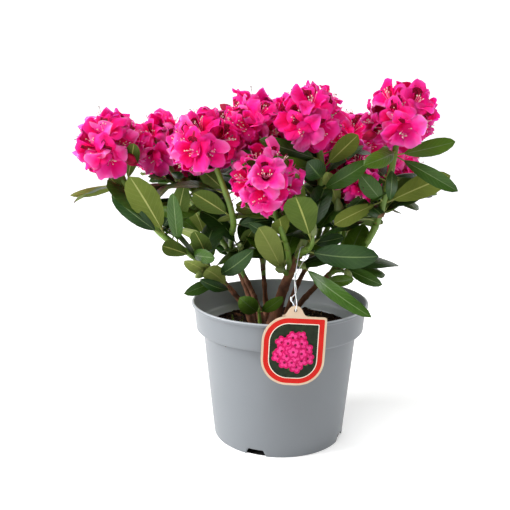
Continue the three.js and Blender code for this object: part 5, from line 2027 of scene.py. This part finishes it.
@dataclass
class Label:
    """The card label: the solid keeps its shape, and a plain printed design lies on its front."""

    centre: tuple[float, float, float] = (12.1, -116.9, 152.0)
    lean: float = 2.5
    thickness: float = 1.0
    width: float = 75.0
    height: float = 85.0
    corner: float = 32.0
    sharp_corner: float = 4.0
    tab: float = 12.5
    hole_drop: float = 5.7
    layer: float = 0.07
    sunk: float = 0.02
    panels: tuple[tuple[float, Ink], ...] = ((2.6, Ink.RED), (8.6, Ink.LINE), (9.6, Ink.SHADE))
    golden: float = 2.399
    leaves: int = 26
    leaf: tuple[float, float] = (6.9, 2.392)
    leaf_field: tuple[float, float] = (21.16, 23.0)
    flowers: int = 19
    flower_field: tuple[float, float] = (19.4, 22.31)
    petal: tuple[float, float] = (6.8, 8.6)

    def on_card(self, flat: Array, lift: float) -> Array:
        """Lays points on the card's front.

        Args:
            flat: Their flat coordinates, from the card's middle.
            lift: How far they stand out to the front.

        Returns:
            Their places.
        """
        a = math.radians(self.lean)
        x = flat[..., 0] * math.cos(a) + flat[..., 1] * math.sin(a) + self.centre[0]
        z = -flat[..., 0] * math.sin(a) + flat[..., 1] * math.cos(a) + self.centre[2]
        y = np.full_like(x, self.centre[1] - self.thickness - lift)
        return np.stack([x, y, z], -1)

    def rounded(self, inset: float) -> Array:
        """Draws the card's outline, of quarter circles with three large radii and one small one.

        Args:
            inset: How far inside the card's own outline it lies.

        Returns:
            The outline, in flat coordinates.
        """
        wide, tall = self.width / 2 - inset, self.height / 2 - inset
        arcs = []
        for quarter, (x, y) in enumerate(((1, -1), (1, 1), (-1, 1), (-1, -1))):
            radius = max((self.sharp_corner if quarter == 1 else self.corner) - inset, 1.2)
            angle = np.radians(90 * (quarter - 1) + np.linspace(0, 90, 24))
            corner = np.array([x * (wide - radius), y * (tall - radius)])
            arcs.append(corner + radius * np.stack([np.cos(angle), np.sin(angle)], -1))
        return np.concatenate(arcs)

    def plate(self, skin: Skin, outline: Array, middle: Sequence[float], level: int, slot: Ink) -> None:
        """Adds a thin printed patch.

        Args:
            skin: Where it goes.
            outline: Its outline, anticlockwise as seen from the front.
            middle: A point inside it that sees the whole outline.
            level: Its layer above the card.
            slot: Its colour.
        """
        points = np.tile(np.array(middle, float), (len(outline), 1))
        high = self.layer * level
        rings = ((points, self.sunk), (outline, self.sunk), (outline, high), (points, high))
        skin.add_turned(np.stack([self.on_card(*ring) for ring in rings]), slot)

    def flower(self, skin: Skin, middle: Sequence[float], size: float, turn: float, level: int) -> None:
        """Adds one printed floret: five lobes, a paler inner shape and a dark eye, each on its own layer.

        Args:
            skin: Where it goes.
            middle: Its middle.
            size: Its radius.
            turn: Its turn, in radians.
            level: The layer of its lobes.
        """
        angle = np.arange(40) * math.tau / 40
        shapes = ((1.0, Ink.PETAL, 0.34), (0.72, Ink.LIGHT, 0.42), (0.2, Ink.EYE, 0.1))
        for step, (share, slot, sharp) in enumerate(shapes):
            radius = size * share * (1 - sharp + sharp * np.abs(np.cos(2.5 * (angle - turn))) ** 0.7)
            outline = np.array(middle) + radius[:, None] * np.stack([np.cos(angle), np.sin(angle)], -1)
            self.plate(skin, outline, middle, level + step, slot)

    def scatter(self, field_: Sequence[float], share: float, turn: float) -> Array:
        """A place on an ellipse that holds a share of the area of the field with these half widths."""
        return np.array(field_) * math.sqrt(share) * (math.cos(turn), math.sin(turn))

    def build(self) -> None:
        """Gives the card its finish and lays the print: a red field, a line and a dark picture of flowers."""
        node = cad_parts["label"]
        node.data.materials.clear()
        node.data.materials.append(BUFF_CARD.material())
        skin = Skin()
        for level, (inset, slot) in enumerate(self.panels):
            self.plate(skin, self.rounded(inset), (0, 0), level + 1, slot)
        rng = np.random.default_rng(91)
        angle = np.arange(24) * math.tau / 24
        blade = np.stack([self.leaf[0] * np.cos(angle), self.leaf[1] * np.sin(angle)], -1)
        level = len(self.panels) + 1
        for index in range(self.leaves):
            middle = self.scatter(self.leaf_field, (index + 0.5) / self.leaves, index * self.golden)
            lean = rng.uniform(0, math.tau)
            turned = np.array([[math.cos(lean), math.sin(lean)], [-math.sin(lean), math.cos(lean)]])
            self.plate(skin, blade @ turned + middle, middle, level, Ink.LEAF)
        for index in range(self.flowers):
            middle = self.scatter(self.flower_field, index / self.flowers, index * self.golden + 0.4)
            over = level + 1 + 3 * (self.flowers - 1 - index)
            self.flower(skin, middle, rng.uniform(*self.petal), rng.uniform(0, 6), over)
        settle(skin.build("label_print", PRINTS, sharp=True))


@dataclass
class LabelString:
    """The label's string: two strands from a knot, crossed, through the card's hole, and round a bough."""

    growth: Growth
    label: Label
    radius: float = 0.62
    knot: tuple[float, float, float] = (16.2, -62, 229)
    cross: tuple[float, float, float] = (15.6, -88, 216.5)
    bead: tuple[float, float, float] = (9.6, -103, 211)
    knot_size: tuple[float, float] = (1.75, 1.25)
    bead_size: tuple[float, float] = (1.4, 2.0)
    wrap: float = 5.4
    wrap_at: float = 0.66
    turns: tuple[float, ...] = (75, 125, 180, 235, 285)
    sides: int = 8
    stations: int = 420
    twist: float = 3.4

    def route(self) -> tuple[Array, Array]:
        """Lists the points that the string passes.

        Returns:
            The points, and the direction of the bough that it goes round.
        """
        drop = self.label.height / 2 + self.label.tab - self.label.hole_drop
        hole = self.label.on_card(np.array([0.0, drop]), -self.label.thickness / 2)
        bough = self.growth.limbs["bough_bud"].course
        middle, along = bough.at(self.wrap_at), bough.lead(self.wrap_at)
        tie, crossing, bead = (np.array(p, float) for p in (self.knot, self.cross, self.bead))
        towards = tie - middle
        towards = unit(towards - along * (towards @ along))
        across = np.cross(along, towards)
        turn = np.radians(self.turns)[:, None]
        ring = middle + self.wrap * (towards * np.cos(turn) + across * np.sin(turn))
        steps = [
            tie + (-0.6, 0, 0.6), crossing + (-0.6, -0.5, 0.8),
            hole + (1, -3, 8), hole + (0.2, -1.7, 1.2), hole + (0, 0, -0.8), hole + (-0.3, 1.8, 1.2),
            hole + (-2.6, 4, 7), bead, crossing + (0.9, 0.5, -0.8), tie + (0.7, 0, -0.6), *ring, tie,
        ]
        return np.array(steps), along

    def spline(self, points: Array) -> Array:
        """Draws a centripetal spline, whose knots are spaced by the square root of the chords.

        Between two points it blends the two parabolas through their neighbours.

        Args:
            points: Points that it passes.

        Returns:
            Its stations.
        """
        ends = np.concatenate([2 * points[:1] - points[1:2], points, 2 * points[-1:] - points[-2:-1]])
        chords = np.sqrt(np.linalg.norm(np.diff(ends, axis=0), axis=1))
        knots = np.concatenate([[0], np.cumsum(chords.clip(1e-3))])
        u = np.linspace(knots[1], knots[-2] - 1e-9, self.stations)
        i = (np.searchsorted(knots, u, side="right") - 1).clip(1, len(points) - 1)

        def blend(a: Array, b: Array, low: Array, high: Array) -> Array:
            """a at the low knot, b at the high one."""
            return lerp(a, b, ((u - low) / (high - low))[:, None])

        k = [knots[i + shift] for shift in (-1, 0, 1, 2)]
        p = [ends[i + shift] for shift in (-1, 0, 1, 2)]
        first, second, third = (blend(p[n], p[n + 1], k[n], k[n + 1]) for n in range(3))
        return blend(blend(first, second, k[0], k[2]), blend(second, third, k[1], k[3]), k[1], k[2])

    def build(self) -> None:
        """Builds two twisted plies along the spline, the knot and the small bead."""
        points, along = self.route()
        path = self.spline(points)
        run = np.concatenate([[0], np.cumsum(np.linalg.norm(np.diff(path, axis=0), axis=1))])
        tangent = unit(np.gradient(path, axis=0))
        first = unit(np.cross(tangent, along))
        second = np.cross(tangent, first)
        skin = Skin()
        for ply in (0, math.pi):
            angle = (run / self.twist * math.tau + ply)[:, None]
            off = (first * np.cos(angle) + second * np.sin(angle)) * self.radius * 0.5
            skin.add_tubes((path + off)[None], self.radius * 0.62, self.sides, along)
        s = np.linspace(-1, 1, 12)
        for at, (size, tall) in ((self.knot, self.knot_size), (self.bead, self.bead_size)):
            ball = np.array(at) + UP * (s * size * tall)[:, None]
            skin.add_tubes(
                ball[None], size * np.sqrt(1 - 0.96 * s * s), 12, np.array([1.0, 0.2, 0.0]),
                relief=lambda rings: 0.22 * rough(rings, 3.0, 8),
            )
        settle(skin.build("label_cord", [CORD_WHITE]), ["label_string"])


# The studio


@dataclass(frozen=True)
class Lamp:
    """A square soft light: its place, its side, its power and the point that it faces."""

    name: str
    place: tuple[float, float, float]
    size: float
    power: float
    aim: tuple[float, float, float]

    def hang(self) -> None:
        """Hangs it."""
        data = bpy.data.lights.new(self.name, "AREA")
        data.shape, data.size, data.energy = "SQUARE", self.size, self.power
        lamp = bpy.data.objects.new(self.name, data)
        lamp.location = self.place
        x, y, z = np.array(self.place) - np.array(self.aim)
        lamp.rotation_euler = (math.atan2(math.hypot(x, y), z), 0, math.atan2(y, x) + math.pi / 2)
        bpy.context.scene.collection.objects.link(lamp)


@dataclass
class Studio:
    """The camera at the photograph's angle, a pale floor that curves up behind, and soft light."""

    eye: tuple[float, float, float] = (-0.0332, -0.9, 0.4273)
    pitch: float = 11.6
    roll: float = 0.33
    view: float = 40.0
    sensor: float = 36.0
    sweep: float = 1500.0
    world: float = 0.13
    lamps: tuple[Lamp, ...] = (
        Lamp("key", (-1.85, -0.35, 1.2), 1.1, 62.0, (0, 0, 0.25)),
        Lamp("top", (-0.35, -0.75, 2.2), 1.2, 37.0, (0, 0, 0.35)),
        Lamp("rim", (1.7, 0.85, 1.2), 1.0, 18.0, (0, 0, 0.25)),
    )

    def camera(self) -> None:
        """Sets the camera."""
        data = bpy.data.cameras.new("camera")
        data.sensor_width = self.sensor
        data.lens = self.sensor / 2 / math.tan(math.radians(self.view / 2))
        camera = bpy.data.objects.new("camera", data)
        camera.location = self.eye
        pitch = Matrix.Rotation(math.radians(90 - self.pitch), 3, "X")
        camera.rotation_euler = (pitch @ Matrix.Rotation(math.radians(self.roll), 3, "Z")).to_euler()
        bpy.context.scene.collection.objects.link(camera)
        bpy.context.scene.camera = camera

    def floor(self) -> None:
        """Lays the floor, a flat sweep that bends up into a wall, and the dark disc in the pot's shade."""
        bend = np.linspace(0, math.pi / 2, 20)
        run = np.concatenate([[-6000.0, -700.0, 700.0], 2500 + self.sweep * np.sin(bend), [4000.0]])
        rise = np.concatenate([[0.0, 0.0, 0.0], self.sweep * (1 - np.cos(bend)), [6000.0]])
        across = np.array([-7000.0, -700.0, 700.0, 7000.0])
        grid = np.stack(np.broadcast_arrays(across[None], run[:, None], rise[:, None]), -1)
        index = np.arange(grid.shape[0] * grid.shape[1]).reshape(grid.shape[:2])
        far = np.ones((grid.shape[0] - 1, 3), int)
        far[1, 1] = 0
        skin = Skin()
        skin.add(grid.reshape(1, -1, 3), quads_of(index, False), far.ravel(), 0.0, 0.0)
        skin.build("floor", FLOORS)
        disc = np.array([[0.0, 0.02], [84, 0.02], [84, 0.15], [0, 0.15]])
        shade = Skin()
        shade.add_turned(spin(disc[:, :1], disc[:, 1:], np.arange(96) * math.tau / 96))
        shade.build("floor_shade", [SHADE])

    def build(self) -> None:
        """Sets up camera, floor, world and lights."""
        self.camera()
        self.floor()
        scene = bpy.context.scene
        scene.view_settings.view_transform = "Standard"
        scene.world = bpy.data.worlds.new("world")
        scene.world.use_nodes = True
        background = scene.world.node_tree.nodes["Background"].inputs
        background["Color"].default_value = (1.0, 1.0, 1.0, 1.0)
        background["Strength"].default_value = self.world
        for lamp in self.lamps:
            lamp.hang()


def main() -> None:
    """Builds everything in order and reports each piece."""
    logging.basicConfig(level=logging.INFO, format="%(message)s", stream=sys.stdout)
    Studio().build()
    growth = Growth()
    growth.grow()
    Pot().build()
    Compost(growth).build()
    Wood(growth).build()
    Foliage(growth).build()
    FlowerHeads(growth).build()
    label = Label()
    label.build()
    LabelString(growth, label).build()


if __name__ == "__main__":
    main()
